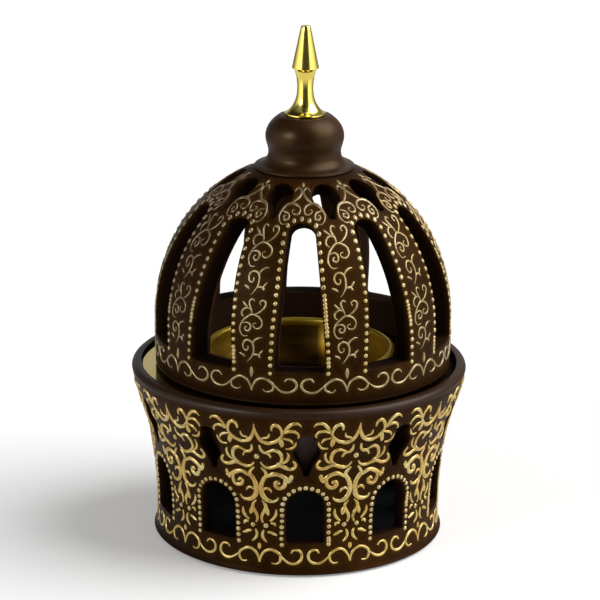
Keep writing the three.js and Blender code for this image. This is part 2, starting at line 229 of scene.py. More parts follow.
def dome_line(radius, rise, top_radius):
    """One of the dome's outlines, straight up to its spring and an ellipse over it."""
    angles = np.linspace(0, math.acos(top_radius / radius), 90)
    curve = np.stack([radius * np.cos(angles), DOME_SPRING + rise * np.sin(angles)], 1)
    return np.vstack([[(radius, DOME_EDGE)], curve])


stand_outside = Wall(np.vstack([foot_line()[:-1], flare_line()]))
inner_flare = flare_line(STAND_WALL)
inner_flare = inner_flare[(inner_flare[:, 0] > CAVITY_RADIUS) & (inner_flare[:, 1] < LEDGE_FOOT)]
stand_inside = Wall(np.vstack([
    [(CAVITY_RADIUS, FOOT_GAP), (CAVITY_RADIUS, CAVITY_STRAIGHT)],
    inner_flare,
    [(stand_outside.radius(LEDGE_FOOT) - STAND_WALL, LEDGE_FOOT)],
]))
dome_outside = Wall(dome_line(DOME_RADIUS, DOME_RISE, CROWN_RADIUS), DOME_TURN, DOME_SHIFT)
dome_inside = Wall(dome_line(DOME_INNER_RADIUS, DOME_INNER_RISE, CROWN_FLAT_RADIUS),
                   DOME_TURN, DOME_SHIFT)
print("stand wall", round(stand_outside.s[-1], 1), "mm long, dome wall", round(dome_outside.s[-1], 1))

# %% [markdown]
# ## Openings
# An opening is a closed flat outline. Four of its points are anchors: they face the corners
# of the bay round it. With the same number of points from anchor to anchor on the opening
# and on the bay's edge, the wall between them is a neat net of four-sided faces, which shades
# more evenly than the slivers that a boolean cut leaves.


# %% Outlines of the openings
def rounded_corner(centre, radius, start, steps=4):
    """A quarter circle that begins at an angle in degrees."""
    angles = np.radians(np.linspace(start, start + 90, steps + 1))
    return [(centre[0] + radius * math.cos(a), centre[1] + radius * math.sin(a)) for a in angles]


def tall_opening(side, head, corner):
    """An opening from its right side upwards and its head's right half; the left is mirrored."""
    width, sill = side[0]
    foot = rounded_corner((width - corner, sill + corner), corner, -90)
    rise = [p for p in side if p[1] > sill + 2 * corner]
    right_half = np.array(foot + rise + head)
    left_half = right_half[::-1] * (-1, 1)
    middle_of_foot, shoulder = len(foot) // 2, len(foot) + len(rise) + len(head) // 2
    loop = np.vstack([right_half, left_half[1:]])
    count = len(loop)
    first = count - 1 - middle_of_foot
    anchors = (first, middle_of_foot, shoulder, count - 1 - shoulder)
    return np.roll(loop, -first, axis=0), [(a - first) % count for a in anchors]


def shaped_opening(shares, half_width, foot, height, shoulder, per=5):
    """An opening whose right half is given as shares of its half width and height."""
    right_half = [(across * half_width, foot + rise * height) for across, rise in shares]
    left_half = [(-x, z) for x, z in right_half[-2:0:-1]]
    loop = smooth_line(right_half + left_half, per, closed=True)
    count = len(loop)
    anchors = [(-per) % count, per, shoulder * per, count - shoulder * per]
    return np.roll(loop, -anchors[0], axis=0), [(a - anchors[0]) % count for a in anchors]


# %% The dome's windows and the small openings under the knob
WINDOW_SILL, WINDOW_APEX = 77.6, 127.7
WINDOW_HALF, WINDOW_HEAD, WINDOW_CORNER = 9.3, 5, 0.9  # half widths low and high, a round below
WINDOW_LEAN = 1.5  # the sides lean in more and more towards the head
# Half an outline: a share of the half width, and a share of the height.
PETAL = ((0, 0), (0.26, 0), (0.34, 0.16), (0.6, 0.31), (0.92, 0.46), (1, 0.57), (0.98, 0.68),
         (0.86, 0.81), (0.62, 0.92), (0, 1))
PETAL_FOOT, PETAL_HEIGHT, PETAL_HALF = 128.7, 9.3, 5


def dome_fall(z):
    """How steeply a line square to the dome falls on its way in."""
    over = np.maximum(z - DOME_SPRING, 0)
    return over / DOME_RISE**2 * DOME_RADIUS**2 / dome_outside.radius(z)


head_rise = WINDOW_HEAD * math.cos(math.atan(dome_fall(WINDOW_APEX)))
head_middle = WINDOW_APEX - head_rise
shares = np.linspace(0, 1, 41)
window_side = [(WINDOW_HALF - (WINDOW_HALF - WINDOW_HEAD) * t**WINDOW_LEAN,
                WINDOW_SILL + (head_middle - WINDOW_SILL) * t) for t in shares]
window_head = [(WINDOW_HEAD * math.cos(a), head_middle + head_rise * math.sin(a))
               for a in np.linspace(0, math.pi / 2, 17)[1:]]
window = tall_opening(window_side, window_head, WINDOW_CORNER)
petal = shaped_opening(PETAL, PETAL_HALF, PETAL_FOOT, PETAL_HEIGHT, shoulder=7)
print("a window is", round(WINDOW_APEX - WINDOW_SILL, 1), "mm tall, a petal", PETAL_HEIGHT)

# %% The stand's arches and the pointed openings over them
ARCH_HALF, ARCH_SILL, ARCH_TOP, ARCH_CORNER = 7.25, 12.5, 33.4, 0.7
OGEE = ((0, 0), (0.16, 0), (0.3, 0.12), (0.52, 0.27), (0.92, 0.46), (1, 0.53), (0.98, 0.62),
        (0.68, 0.8), (0.6, 0.9), (0.58, 0.96), (0, 1))
OGEE_FOOT, OGEE_HEIGHT, OGEE_HALF = 39.3, 16.9, 4.9
arch_side = [(ARCH_HALF, z) for z in np.linspace(ARCH_SILL, ARCH_TOP - ARCH_HALF, 15)]
arch_head = [(ARCH_HALF * math.cos(a), ARCH_TOP - ARCH_HALF + ARCH_HALF * math.sin(a))
             for a in np.linspace(0, math.pi / 2, 17)[1:]]
arch = tall_opening(arch_side, arch_head, ARCH_CORNER)
ogee = shaped_opening(OGEE, OGEE_HALF, OGEE_FOOT, OGEE_HEIGHT, shoulder=7)
print("points on a window:", len(window[0]), "on an arch:", len(arch[0]))

# %% [markdown]
# ## A pierced bay
# One bay is a stack of closed rings of points, all with the same count: from the bay's edge
# on the inside wall, in to the opening, out along the opening's sides, round the softened
# edge, and over the outside wall to the bay's edge again. Neighbouring rings are joined with
# four-sided faces. The cast edges of the real burner are a little soft, so the outer edge is
# a quarter round.

# %% Rings of a pierced bay
EDGE_ROUND = 0.35  # mm, the soft outer edge
ROUND_STEPS, JAMB_STEPS, WALL_LAYERS = 4, 5, 11
LAYER_GROWTH = 1.25  # the rings lie closer together near the opening
DEEPEST, HALVINGS = 30.0, 40  # the side walls' depth is found by halving this range so often


def frame_of_bay(low, high, across, side):
    """The bay's edge as (angle, length) pairs, from its lower left corner, anticlockwise."""
    half = BAY / 2
    bottom = [(a, low(a)) for a in np.linspace(-half, half, across + 1)]
    top = [(a, high(a)) for a in np.linspace(half, -half, across + 1)]
    climb = [(half, s) for s in np.linspace(low(half), high(half), side + 1)]
    fall = [(-half, s) for s in np.linspace(high(-half), low(-half), side + 1)]
    return np.array(bottom[:-1] + climb[:-1] + top[:-1] + fall[:-1])


def spread_round(opening, across, side):
    """The opening's outline with its points counted as the bay's edge counts them."""
    loop, anchors = opening
    closed = np.vstack([loop, loop[:1]])
    stops = list(anchors) + [len(loop)]
    parts = [evenly(closed[stops[k]:stops[k + 1] + 1], n)[:-1]
             for k, n in enumerate((across, side, across, side))]
    return np.vstack(parts)


def on_wall(wall, places):
    """Points of (radius, angle, height) from places of (angle, length) on a wall."""
    z = wall.height(places[:, 1])
    return np.stack([wall.radius(z), places[:, 0], z], 1)


# %% A pierced bay
def pierced_bay(outside, inside, opening, fall, edges, across, side, straight=0.0):
    """Rings of (radius, angle, height) for one bay; edges are the bay's low and high lines.

    The opening narrows towards the axis where straight is 0 and keeps its width where it is 1.
    """
    flat = spread_round(opening, across, side)
    x, s = flat[:, 0], outside.length(flat[:, 1])
    tangent = np.stack([np.roll(x, -1) - np.roll(x, 1), np.roll(s, -1) - np.roll(s, 1)], 1)
    tangent /= np.linalg.norm(tangent, axis=1)[:, None]
    away = np.stack([tangent[:, 1], -tangent[:, 0]], 1)
    outer_low, outer_high, inner_low, inner_high = edges
    outer_frame = frame_of_bay(outer_low, outer_high, across, side)
    inner_frame = frame_of_bay(inner_low, inner_high, across, side)

    def sunk(offset, depth):
        """The opening's outline, offset into the wall's face and sunk to a depth."""
        z = outside.height(s + away[:, 1] * offset)
        radius = outside.radius(z)
        angle = (x + away[:, 0] * offset) / radius
        steep = fall(z)
        run = depth / np.hypot(1, steep)
        widened = angle * (1 + straight * run / (radius - run))
        return np.stack([radius - run, widened, z - run * steep], 1)

    start = sunk(EDGE_ROUND, 0)
    edge = [sunk(EDGE_ROUND * (1 - math.sin(a)), EDGE_ROUND * (1 - math.cos(a)))
            for a in np.linspace(math.pi / 2, 0, ROUND_STEPS + 1)[:-1]]
    deep, shallow = np.full(len(x), DEEPEST), np.zeros(len(x))
    for _ in range(HALVINGS):
        depth = (deep + shallow) / 2
        trial = sunk(0, depth)
        through = trial[:, 0] < inside.radius(trial[:, 2])
        deep, shallow = np.where(through, depth, deep), np.where(through, shallow, depth)
    jamb = [sunk(0, EDGE_ROUND + (deep - EDGE_ROUND) * t)
            for t in np.linspace(1, 0, JAMB_STEPS + 1)[:-1]]
    back = np.stack([jamb[0][:, 1], inside.length(jamb[0][:, 2])], 1)
    front = np.stack([start[:, 1], outside.length(start[:, 2])], 1)
    inner = [on_wall(inside, inner_frame + (back - inner_frame) * t) for t in
             np.linspace(0, 1, WALL_LAYERS // 2 + 1)[:-1]]
    outer = [on_wall(outside, front + (outer_frame - front) * t**LAYER_GROWTH) for t in
             np.linspace(0, 1, WALL_LAYERS + 1)]
    return np.array(inner + jamb + edge + outer)


# %% [markdown]
# ## From rings to a shell
# The rings of one bay are turned into ten bays. What closes the shell at its rim and foot is
# a plain section turned round the axis with the same number of steps, so that the points on
# the common edges meet and can be merged. Cutting the openings with booleans would be quicker
# to write, but it leaves long thin faces that shade badly on a curved wall.

# %% Make an object and finish its mesh
ACROSS = 30  # faces across a bay
MERGE_DISTANCE = 0.004 * MM


def clear_selection():
    bpy.ops.object.select_all(action="DESELECT")


def add_object(name, points, faces, smooth_angle=35):
    """A mesh object from points in metres, merged where they meet, with its faces outwards."""
    mesh = bpy.data.meshes.new(name)
    mesh.from_pydata([tuple(p) for p in points], [], faces)
    obj = bpy.data.objects.new(name, mesh)
    bpy.context.scene.collection.objects.link(obj)
    finish_mesh(obj, smooth_angle)
    return obj


def finish_mesh(obj, smooth_angle=35):
    """Merges doubles, turns the faces outwards and smooths the shading."""
    clear_selection()
    obj.select_set(True)
    bpy.context.view_layer.objects.active = obj
    bpy.ops.object.mode_set(mode="EDIT")
    bpy.ops.mesh.select_all(action="SELECT")
    bpy.ops.mesh.remove_doubles(threshold=MERGE_DISTANCE)
    bpy.ops.mesh.normals_make_consistent(inside=False)
    bpy.ops.object.mode_set(mode="OBJECT")
    bpy.ops.object.shade_smooth_by_angle(angle=math.radians(smooth_angle))
    clear_selection()


# %% Build a shell from its bays and its plain bands
def net(rows, count):
    """Four-sided faces between closed rings of points that are stored one after another."""
    return [(r * count + i, r * count + (i + 1) % count,
             (r + 1) * count + (i + 1) % count, (r + 1) * count + i)
            for r in range(rows - 1) for i in range(count)]


def band(wall, section):
    """A plain section turned round the wall's axis with the bays' steps."""
    steps = ACROSS * BAYS
    angles = np.arange(steps) * 2 * math.pi / steps
    points = [wall.round_to_xyz(r, angles, z) for r, z in section]
    return np.vstack(points), net(len(section), steps)


def shell(name, wall, bays, bands):
    """One shell from rings of pierced bays, each with its first angle, and plain bands."""
    points, faces = [], []

    def take(new_points, new_faces):
        start = sum(len(p) for p in points)
        points.append(new_points)
        faces.extend(tuple(start + i for i in face) for face in new_faces)

    for rings, first in bays:
        for i in range(BAYS):
            xyz = wall.round_to_xyz(rings[..., 0], rings[..., 1] + first + i * BAY, rings[..., 2])
            take(xyz.reshape(-1, 3), net(rings.shape[0], rings.shape[1]))
    for section in bands:
        take(*band(wall, section))
    obj = add_object(name, np.vstack(points), faces)
    loose = sum(1 for e in edge_uses(obj.data) if e != 2)
    print(name, "has", len(obj.data.polygons), "faces and", loose, "open edges")
    return obj


def edge_uses(mesh):
    """How many faces use each edge: two everywhere on a closed shell."""
    uses = np.zeros(len(mesh.edges), int)
    index = np.zeros(len(mesh.loops), int)
    mesh.loops.foreach_get("edge_index", index)
    np.add.at(uses, index, 1)
    return uses


def arc(middle_r, middle_z, radius, start, end, steps=6):
    """Part of a circle in an outline, between two angles in degrees."""
    angles = np.radians(np.linspace(start, end, steps + 1))
    return [(middle_r + radius * math.cos(a), middle_z + radius * math.sin(a)) for a in angles]


# %% [markdown]
# ## The two shells
# The dome lid has ten tall windows with a ring of ten small petals between them under the
# knob. The stand has ten arches with a pointed opening over each. Both shells are closed all
# round, walls, openings and edges, and each prints how many edges it has left open: none.

# %% Lines between the rows of openings
EDGE_LIP = 0.25
DOME_SPLIT, DOME_SPLIT_WAVE = 128.3, 2.3  # the line between windows and petals waves past both
INNER_SPLIT, INNER_SPLIT_WAVE = 123.1, 1.9
DOME_TOP, INNER_TOP = 139.0, 133.3  # the petals' bays end at these heights


def wave(wall, middle, height, sign):
    """A line that waves once up and down in each bay."""
    return lambda a: wall.length(middle + sign * height * np.cos(BAYS * np.asarray(a)))


def flat_line(wall, z):
    """A line at one height."""
    s = wall.length(z)
    return lambda a: s + 0 * np.asarray(a)


lip = DOME_EDGE + EDGE_LIP
window_edges = (flat_line(dome_outside, lip),
                wave(dome_outside, DOME_SPLIT, DOME_SPLIT_WAVE, 1),
                flat_line(dome_inside, lip),
                wave(dome_inside, INNER_SPLIT, INNER_SPLIT_WAVE, 1))
petal_edges = (wave(dome_outside, DOME_SPLIT, DOME_SPLIT_WAVE, -1), flat_line(dome_outside, DOME_TOP),
               wave(dome_inside, INNER_SPLIT, INNER_SPLIT_WAVE, -1), flat_line(dome_inside, INNER_TOP))
print("the windows' bays end about", DOME_SPLIT, "mm up, the petals' at", DOME_TOP)

# %% The dome lid
WINDOW_FALL, PETAL_FALL = 0.5, 0.4  # how much their side walls fall, of a line square to the dome
STRAIGHT = 0.35  # between 0, where an opening narrows towards the axis, and 1, where it doesn't
WINDOW_ROWS, PETAL_ROWS = 56, 18  # faces up a bay
MOUTH_CHAMFER = 0.4
windows = pierced_bay(dome_outside, dome_inside, window, lambda z: WINDOW_FALL * dome_fall(z),
                      window_edges, ACROSS, WINDOW_ROWS, STRAIGHT)
petals = pierced_bay(dome_outside, dome_inside, petal, lambda z: PETAL_FALL * dome_fall(z),
                     petal_edges, ACROSS, PETAL_ROWS, STRAIGHT)
mouth = (arc(DOME_RADIUS - EDGE_LIP, lip, EDGE_LIP, 0, -70, 3)
         + [(DOME_FOOT_RADIUS, DOME_BOTTOM), (DOME_INNER_RADIUS + MOUTH_CHAMFER, DOME_BOTTOM),
            (DOME_INNER_RADIUS, DOME_BOTTOM + MOUTH_CHAMFER), (DOME_INNER_RADIUS, lip)])
crown = [(float(dome_outside.radius(DOME_TOP)), DOME_TOP), (CROWN_RADIUS, CROWN_SEAT),
         (BORE_RADIUS, CROWN_SEAT), (BORE_RADIUS, CROWN_FLAT), (CROWN_FLAT_RADIUS, CROWN_FLAT),
         (float(dome_inside.radius(INNER_TOP)), INNER_TOP)]
dome = shell("dome_shell", dome_outside, [(windows, 0), (petals, BAY / 2)], [mouth, crown])


def dome_depth(x, y, z):
    """How far a place in millimetres lies under the dome's outer face."""
    across = math.hypot(x - DOME_SHIFT, y) / DOME_RADIUS
    return DOME_RADIUS * (1 - math.hypot(across, max(z - DOME_SPRING, 0) / DOME_RISE))


# The photograph shows more of the left side walls than of the right ones, as if the mould's
# core sat a little to one side. The inside is shifted by that, the side walls in part, and
# the crown round the bore not at all.
for vertex in dome.data.vertices:
    x, y, z = vertex.co / MM
    if math.hypot(x - DOME_SHIFT, y) > CROWN_FLAT_RADIUS + 2:
        vertex.co.x += CORE_SHIFT * MM * min(dome_depth(x, y, z) / DOME_WALL, 1)
print("the dome's inside is shifted by", CORE_SHIFT, "mm")
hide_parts("dome_lid")
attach(dome, "lid")

# %% The stand
STAND_SPLIT, STAND_TOP = 36.4, 59.6  # between arches and pointed openings, and over them
ARCH_ROWS, OGEE_ROWS = 24, 20  # faces up a bay
FOOT_FILLET = 0.9
stand_low = FOOT_GAP + 1.4
arch_edges = (flat_line(stand_outside, stand_low), flat_line(stand_outside, STAND_SPLIT),
              flat_line(stand_inside, stand_low), flat_line(stand_inside, STAND_SPLIT))
ogee_edges = (flat_line(stand_outside, STAND_SPLIT), flat_line(stand_outside, STAND_TOP),
              flat_line(stand_inside, STAND_SPLIT), flat_line(stand_inside, LEDGE_FOOT))
arches = pierced_bay(stand_outside, stand_inside, arch, np.zeros_like, arch_edges,
                     ACROSS, ARCH_ROWS)
ogees = pierced_bay(stand_outside, stand_inside, ogee, np.zeros_like, ogee_edges,
                    ACROSS, OGEE_ROWS)
foot = ([(float(stand_outside.radius(stand_low)), stand_low)]
        + arc(FOOT_RADIUS - 0.15 - FOOT_FILLET, FOOT_GAP + FOOT_FILLET, FOOT_FILLET, -15, -90, 4)
        + [(CAVITY_RADIUS, FOOT_GAP), (CAVITY_RADIUS, stand_low)])
shoulder = [(r, z) for r, z in zip(stand_outside.r, stand_outside.z) if z > STAND_TOP + 0.2]
rim = ([(float(stand_outside.radius(STAND_TOP)), STAND_TOP)] + shoulder
       + arc(RIM_RADIUS - RIM_FILLET, SHOULDER_HEIGHT, RIM_FILLET, 0, 90, 10)[1:]
       + arc(RECESS_RADIUS + RIM_INNER_FILLET, RIM_TOP - RIM_INNER_FILLET, RIM_INNER_FILLET,
             90, 180, 6)
       + [(RECESS_RADIUS, RECESS_FLOOR), (REBATE_RADIUS, RECESS_FLOOR),
          (REBATE_RADIUS, REBATE_FLOOR), (LEDGE_RADIUS, REBATE_FLOOR),
          (LEDGE_RADIUS, LEDGE_UNDERSIDE),
          (float(stand_inside.radius(LEDGE_FOOT)), LEDGE_FOOT)])
stand = shell("stand_shell", stand_outside, [(arches, 0), (ogees, 0)], [foot, rim])
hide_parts("base_shell")
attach(stand, "base")

# %% [markdown]
# ## Turned pieces
# The knob, the finial, the cup, the tray and the basin are all turned. In Blender that is one
# point pulled along the outline of half the piece, then spun once round the axis. More points
# go where the outline bends most, and the shading is smoothed except over real edges.


# %% Turn an outline round the axis
def turned(name, section, body, node=None, steps=128, middle=0.0, smooth_angle=35):
    """Spins a section of (radius, height) in mm round the axis and finishes the piece."""
    clear_selection()
    bpy.ops.mesh.primitive_plane_add(size=MM)
    obj = bpy.context.object
    obj.name = obj.data.name = name
    bpy.ops.object.mode_set(mode="EDIT")
    bpy.ops.mesh.merge(type="CENTER")
    places = [Vector((r, 0, z)) * MM for r, z in section]
    bpy.ops.transform.translate(value=places[0])
    for here, there in zip(places, places[1:]):
        bpy.ops.mesh.extrude_vertices_move(TRANSFORM_OT_translate={"value": there - here})
    bpy.ops.mesh.select_all(action="SELECT")
    bpy.ops.mesh.spin(steps=steps, angle=2 * math.pi, center=(0, 0, 0), axis=(0, 0, 1))
    bpy.ops.mesh.select_all(action="SELECT")
    bpy.ops.mesh.remove_doubles(threshold=MERGE_DISTANCE)
    bpy.ops.mesh.dissolve_degenerate(threshold=MERGE_DISTANCE / 2)
    bpy.ops.object.mode_set(mode="OBJECT")
    obj.data.transform(Matrix.Translation((middle * MM, 0, 0)))
    finish_mesh(obj, smooth_angle)
    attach(obj, body)
    if node:
        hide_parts(node)
    print(name, "has", len(obj.data.polygons), "faces")
    return obj


# %% [markdown]
# ## Knob
# The knob is one turned resin piece: a thin skirt lies on the crown, a hollow rises to a
# narrow neck, and above it a full belly closes under the finial. Its outline is the skirt's
# spline, a soft swell and a quarter of an ellipse.

# %% Knob
KNOB_BOTTOM = CROWN_SEAT + GAP
KNOB_TOP = KNOB_BOTTOM + 19.2
KNOB_RADIUS, NECK_RADIUS = 14.4, 13.3
SKIRT_FOOT, NECK_HEIGHT, BELLY_HEIGHT = (KNOB_BOTTOM + rise for rise in (0.5, 5.7, 11.5))
BELLY_RISE = 10.2  # the half ellipse over the belly would be this tall if it closed
# The skirt: a share of its height, and how much of it still stands out there.
KNOB_SKIRT = ((0, 1), (0.06, 0.98), (0.12, 0.84), (0.19, 0.56), (0.28, 0.38), (0.46, 0.2),
              (0.73, 0.04), (1, 0))
skirt = smooth_line([(NECK_RADIUS + out * (CROWN_RADIUS - NECK_RADIUS),
                      SKIRT_FOOT + rise * (NECK_HEIGHT - SKIRT_FOOT)) for rise, out in KNOB_SKIRT], 6)
swell = [(NECK_RADIUS + (KNOB_RADIUS - NECK_RADIUS) * (1 - math.cos(math.pi * t)) / 2,
          NECK_HEIGHT + (BELLY_HEIGHT - NECK_HEIGHT) * t) for t in np.linspace(0, 1, 15)[1:]]
top_angle = math.asin((KNOB_TOP - BELLY_HEIGHT) / BELLY_RISE)
belly = [(KNOB_RADIUS * math.cos(a), BELLY_HEIGHT + BELLY_RISE * math.sin(a))
         for a in np.linspace(0, top_angle, 22)[1:]]
knob = turned("turned_knob", [(BORE_RADIUS, KNOB_BOTTOM), (CROWN_RADIUS - 0.25, KNOB_BOTTOM),
                              (CROWN_RADIUS, KNOB_BOTTOM + 0.2), *skirt, *swell, *belly,
                              (BORE_RADIUS, KNOB_TOP), (BORE_RADIUS, KNOB_BOTTOM)],
              "lid", "knob", middle=DOME_SHIFT)

# %% [markdown]
# ## Finial
# The finial is turned from brass and polished. Crisp edges matter here: the collar under the
# cone is sharp in the photograph, so its corner is only broken by a tiny flat. It is spun as
# the knob is, with a bore for the stud in its foot.

# %% Finial
FINIAL_BOTTOM = KNOB_TOP + GAP
FINIAL_FOOT, FINIAL_NECK, COLLAR_RADIUS = 7.5, 2.92, 4.93
CONE_FOOT, CONE_HEAD, TIP_RADIUS = 4.9, 1.78, 1.35
BORE_DEPTH = 6
flare_foot, stem_foot, collar, tip = (FINIAL_BOTTOM + rise for rise in (0.6, 9.6, 17.2, 32.5))
# The foot's flare: a share of its height, and how much of it still stands out there.
FINIAL_FLARE = ((0, 1), (0.06, 0.8), (0.14, 0.6), (0.3, 0.36), (0.47, 0.19), (0.72, 0.05), (1, 0))
flare = smooth_line([(FINIAL_NECK + out * (FINIAL_FOOT - FINIAL_NECK),
                      flare_foot + rise * (stem_foot - flare_foot))
                     for rise, out in FINIAL_FLARE], 8)
stem = smooth_line([(FINIAL_NECK, stem_foot), (3.02, stem_foot + 2), (3.35, stem_foot + 4.4),
                    (4.04, collar - 1)], 6)[1:]
cone = [(CONE_FOOT + (CONE_HEAD - CONE_FOOT) * t, collar + 0.12 + (tip - collar - 0.4) * t)
        for t in np.linspace(0, 1, 9)]
finial = turned("turned_finial", [
    (BORE_RADIUS, FINIAL_BOTTOM), (FINIAL_FOOT - 0.15, FINIAL_BOTTOM),
    (FINIAL_FOOT, FINIAL_BOTTOM + 0.15), *flare, *stem,
    (COLLAR_RADIUS - 0.18, collar - 0.2), (COLLAR_RADIUS, collar - 0.02), *cone,
    (TIP_RADIUS + 0.25, tip - 0.06), (TIP_RADIUS, tip), (0, tip), (0, FINIAL_BOTTOM + BORE_DEPTH),
    (BORE_RADIUS, FINIAL_BOTTOM + BORE_DEPTH), (BORE_RADIUS, FINIAL_BOTTOM)],
    "lid", "finial", steps=96, middle=DOME_SHIFT, smooth_angle=30)

# %% [markdown]
# ## Cup, tray and basin
# The cup and the tray are spun from thin gold-coloured sheet. The cup's rim is rolled
# outwards, and a shallow step runs round the tray's well. The basin is plain cast resin. Each
# could be a sheet with a Solidify modifier, but drawing both faces of the wall in the outline
# gives the rolled rim and the bends their true thickness.

# %% Charcoal cup
CUP_BOTTOM, CUP_TOP = 54.3, 71.2
CUP_FLOOR, CUP_RIM, CUP_BEAD = 24, 34.3, 1.3  # radii of the flat floor, the rim and its roll
SHEET = 1  # mm, the metal's thickness
bead_middle = CUP_TOP - CUP_BEAD
quarter = np.linspace(0, math.pi / 2, 25)
cup_outside = [(CUP_FLOOR + (CUP_RIM - CUP_FLOOR) * math.sin(a),
                bead_middle - (bead_middle - CUP_BOTTOM) * math.cos(a)) for a in quarter]
cup_inside = [(CUP_FLOOR + (CUP_RIM - SHEET - CUP_FLOOR) * math.sin(a),
               bead_middle - (bead_middle - CUP_BOTTOM - SHEET) * math.cos(a)) for a in quarter]
rolled = arc(CUP_RIM, bead_middle, CUP_BEAD, -90, 180, 18)
cup = turned("spun_cup", [(0, CUP_BOTTOM), *cup_outside[:-1], *rolled, *cup_inside[::-1],
                          (0, CUP_BOTTOM + SHEET)], "cup", "charcoal_cup")

# %% Tray
TRAY_BOTTOM, TRAY_TOP, TRAY_RADIUS = 63.5, 64.5, 56.8
TRAY_SHIFT = -1.4  # it lies against the left of the recess's wall
WELL_RADIUS, WELL_FLOOR_RADIUS, WELL_FLOOR = 44, 41, 54
FOOT_BEND, NECK_BEND, STEP_BEND, FLOOR_BEND = 1.2, 0.8, 1.35, 1.4  # radii of the sheet's bends
STEP_WIDTH, STEP_DROP = 3.4, 0.25
tray = turned("spun_tray", [
    (0, WELL_FLOOR - SHEET), (WELL_FLOOR_RADIUS - 1, WELL_FLOOR - SHEET),
    *arc(WELL_FLOOR_RADIUS - FOOT_BEND, WELL_FLOOR - SHEET + FOOT_BEND, FOOT_BEND, -80, -10, 5),
    *arc(WELL_RADIUS + 0.9, TRAY_BOTTOM - NECK_BEND, NECK_BEND, 170, 95, 5),
    (TRAY_RADIUS - 0.1, TRAY_BOTTOM), (TRAY_RADIUS, TRAY_BOTTOM + 0.1), (TRAY_RADIUS, TRAY_TOP),
    (WELL_RADIUS + STEP_WIDTH, TRAY_TOP), (WELL_RADIUS + STEP_WIDTH - 0.3, TRAY_TOP - STEP_DROP),
    *arc(WELL_RADIUS + 0.7, TRAY_TOP - STEP_DROP - STEP_BEND, STEP_BEND, 90, 165, 6),
    *arc(WELL_FLOOR_RADIUS - 1 - FLOOR_BEND, WELL_FLOOR + 0.1 + FLOOR_BEND, FLOOR_BEND,
         -10, -88, 6),
    (0, WELL_FLOOR)], "tray", "tray", middle=TRAY_SHIFT)

# %% Basin
BASIN_RADIUS, BASIN_BODY, BASIN_MOUTH = 54.45, 51.15, 47.55  # its flange, its body, its hollow
BASIN_FOOT, BASIN_FLOOR = 34, 38
DRAFT = 3.3  # how far the walls lean in on their way down
FOOT_ROUND, MOUTH_ROUND, FLOOR_ROUND = 1.5, 0.8, 2.5
basin = turned("cast_basin", [
    (0, BASIN_FOOT),
    *arc(BASIN_BODY - DRAFT - FOOT_ROUND, BASIN_FOOT + FOOT_ROUND, FOOT_ROUND, -90, -5, 6),
    (BASIN_BODY, LEDGE_UNDERSIDE), (BASIN_BODY, REBATE_FLOOR + GAP),
    (BASIN_RADIUS, REBATE_FLOOR + GAP), (BASIN_RADIUS, RECESS_FLOOR),
    *arc(BASIN_MOUTH + MOUTH_ROUND, RECESS_FLOOR - MOUTH_ROUND, MOUTH_ROUND, 90, 175, 5),
    *arc(BASIN_MOUTH - DRAFT - FLOOR_ROUND, BASIN_FLOOR + FLOOR_ROUND, FLOOR_ROUND, -5, -90, 8),
    (0, BASIN_FLOOR)], "base", "basin")

# %% [markdown]
# ## Piped ornament
# The gold lines stand out from the wall as if piped on by hand. Each one is a few points on
# the flat wall, in millimetres across from the middle of its bay and up from the table. A
# curve with a round bevel turns it into a strand, and the wall then lays the strand onto
# itself. Lines on the stand are mirrored about the middle of the pier. Those on a rib of the
# dome are not: they grow like a vine.


# %% What a line is
class Line:
    """Half the width, the points, and what share of the width is left at each end."""

    def __init__(self, half, points, start=0.55, end=0.6):
        self.half, self.points, self.start, self.end = half, np.array(points, float), start, end

    def moved(self, across=0.0, up=0.0, stretch=1.0):
        return Line(self.half, self.points * (stretch, 1) + (across, up), self.start, self.end)

    def mirrored(self):
        return Line(self.half, self.points * (-1, 1), self.start, self.end)


def both_sides(lines):
    """Lines of the right half, and the same lines on the left."""
    return lines + [line.mirrored() for line in lines]


short_line = Line(0.3, [(0, 0), (1, 1)])
print("a line moved across by 2 mm starts at", short_line.moved(across=2).points[0])

# %% Lines of one rib of the dome
VINE = 0.31  # mm, half the width of the vine
vine_top = [
    Line(VINE, [(-1.7, 114), (-3.2, 113.8), (-4.2, 114.6), (-4.7, 116.1), (-4.4, 117.8), (-3.6, 119.2),
                (-2.3, 120.5), (-0.8, 121.5), (0.6, 121.5), (2, 120.9), (3.1, 119.8), (3.3, 118.4),
                (2.7, 117.3), (1.6, 116.8), (0.5, 117.2), (0.1, 118), (0.6, 118.6), (1.3, 118.6)]),
    Line(VINE, [(-3.8, 118.2), (-2.8, 118.6), (-1.8, 118.6), (-0.9, 117.9), (-0.8, 116.8),
                (-1.5, 115.9), (-2.4, 115.9), (-2.9, 116.6), (-2.6, 117.3), (-2, 117.1)]),
    Line(VINE, [(0.6, 121.7), (2, 122.4), (3.4, 123.7), (4.1, 125.1), (3.8, 126.2), (2.8, 126.6),
                (2, 126), (2.1, 125.2), (2.6, 125)]),
    Line(VINE, [(-0.6, 121.6), (-0.7, 122.7), (-1.3, 124), (-1.8, 125.4), (-1.7, 126.2),
                (-1.1, 126.8), (-0.4, 126.7), (0, 126.2)]),
    Line(VINE, [(-1.2, 123.4), (-2.6, 123.7), (-3.9, 123), (-4.4, 121.8), (-4, 120.8), (-3.3, 120.5)]),
    Line(VINE, [(-2.3, 124), (-3.4, 124.8), (-4.3, 125.8)], 0.8, 0.3),
]
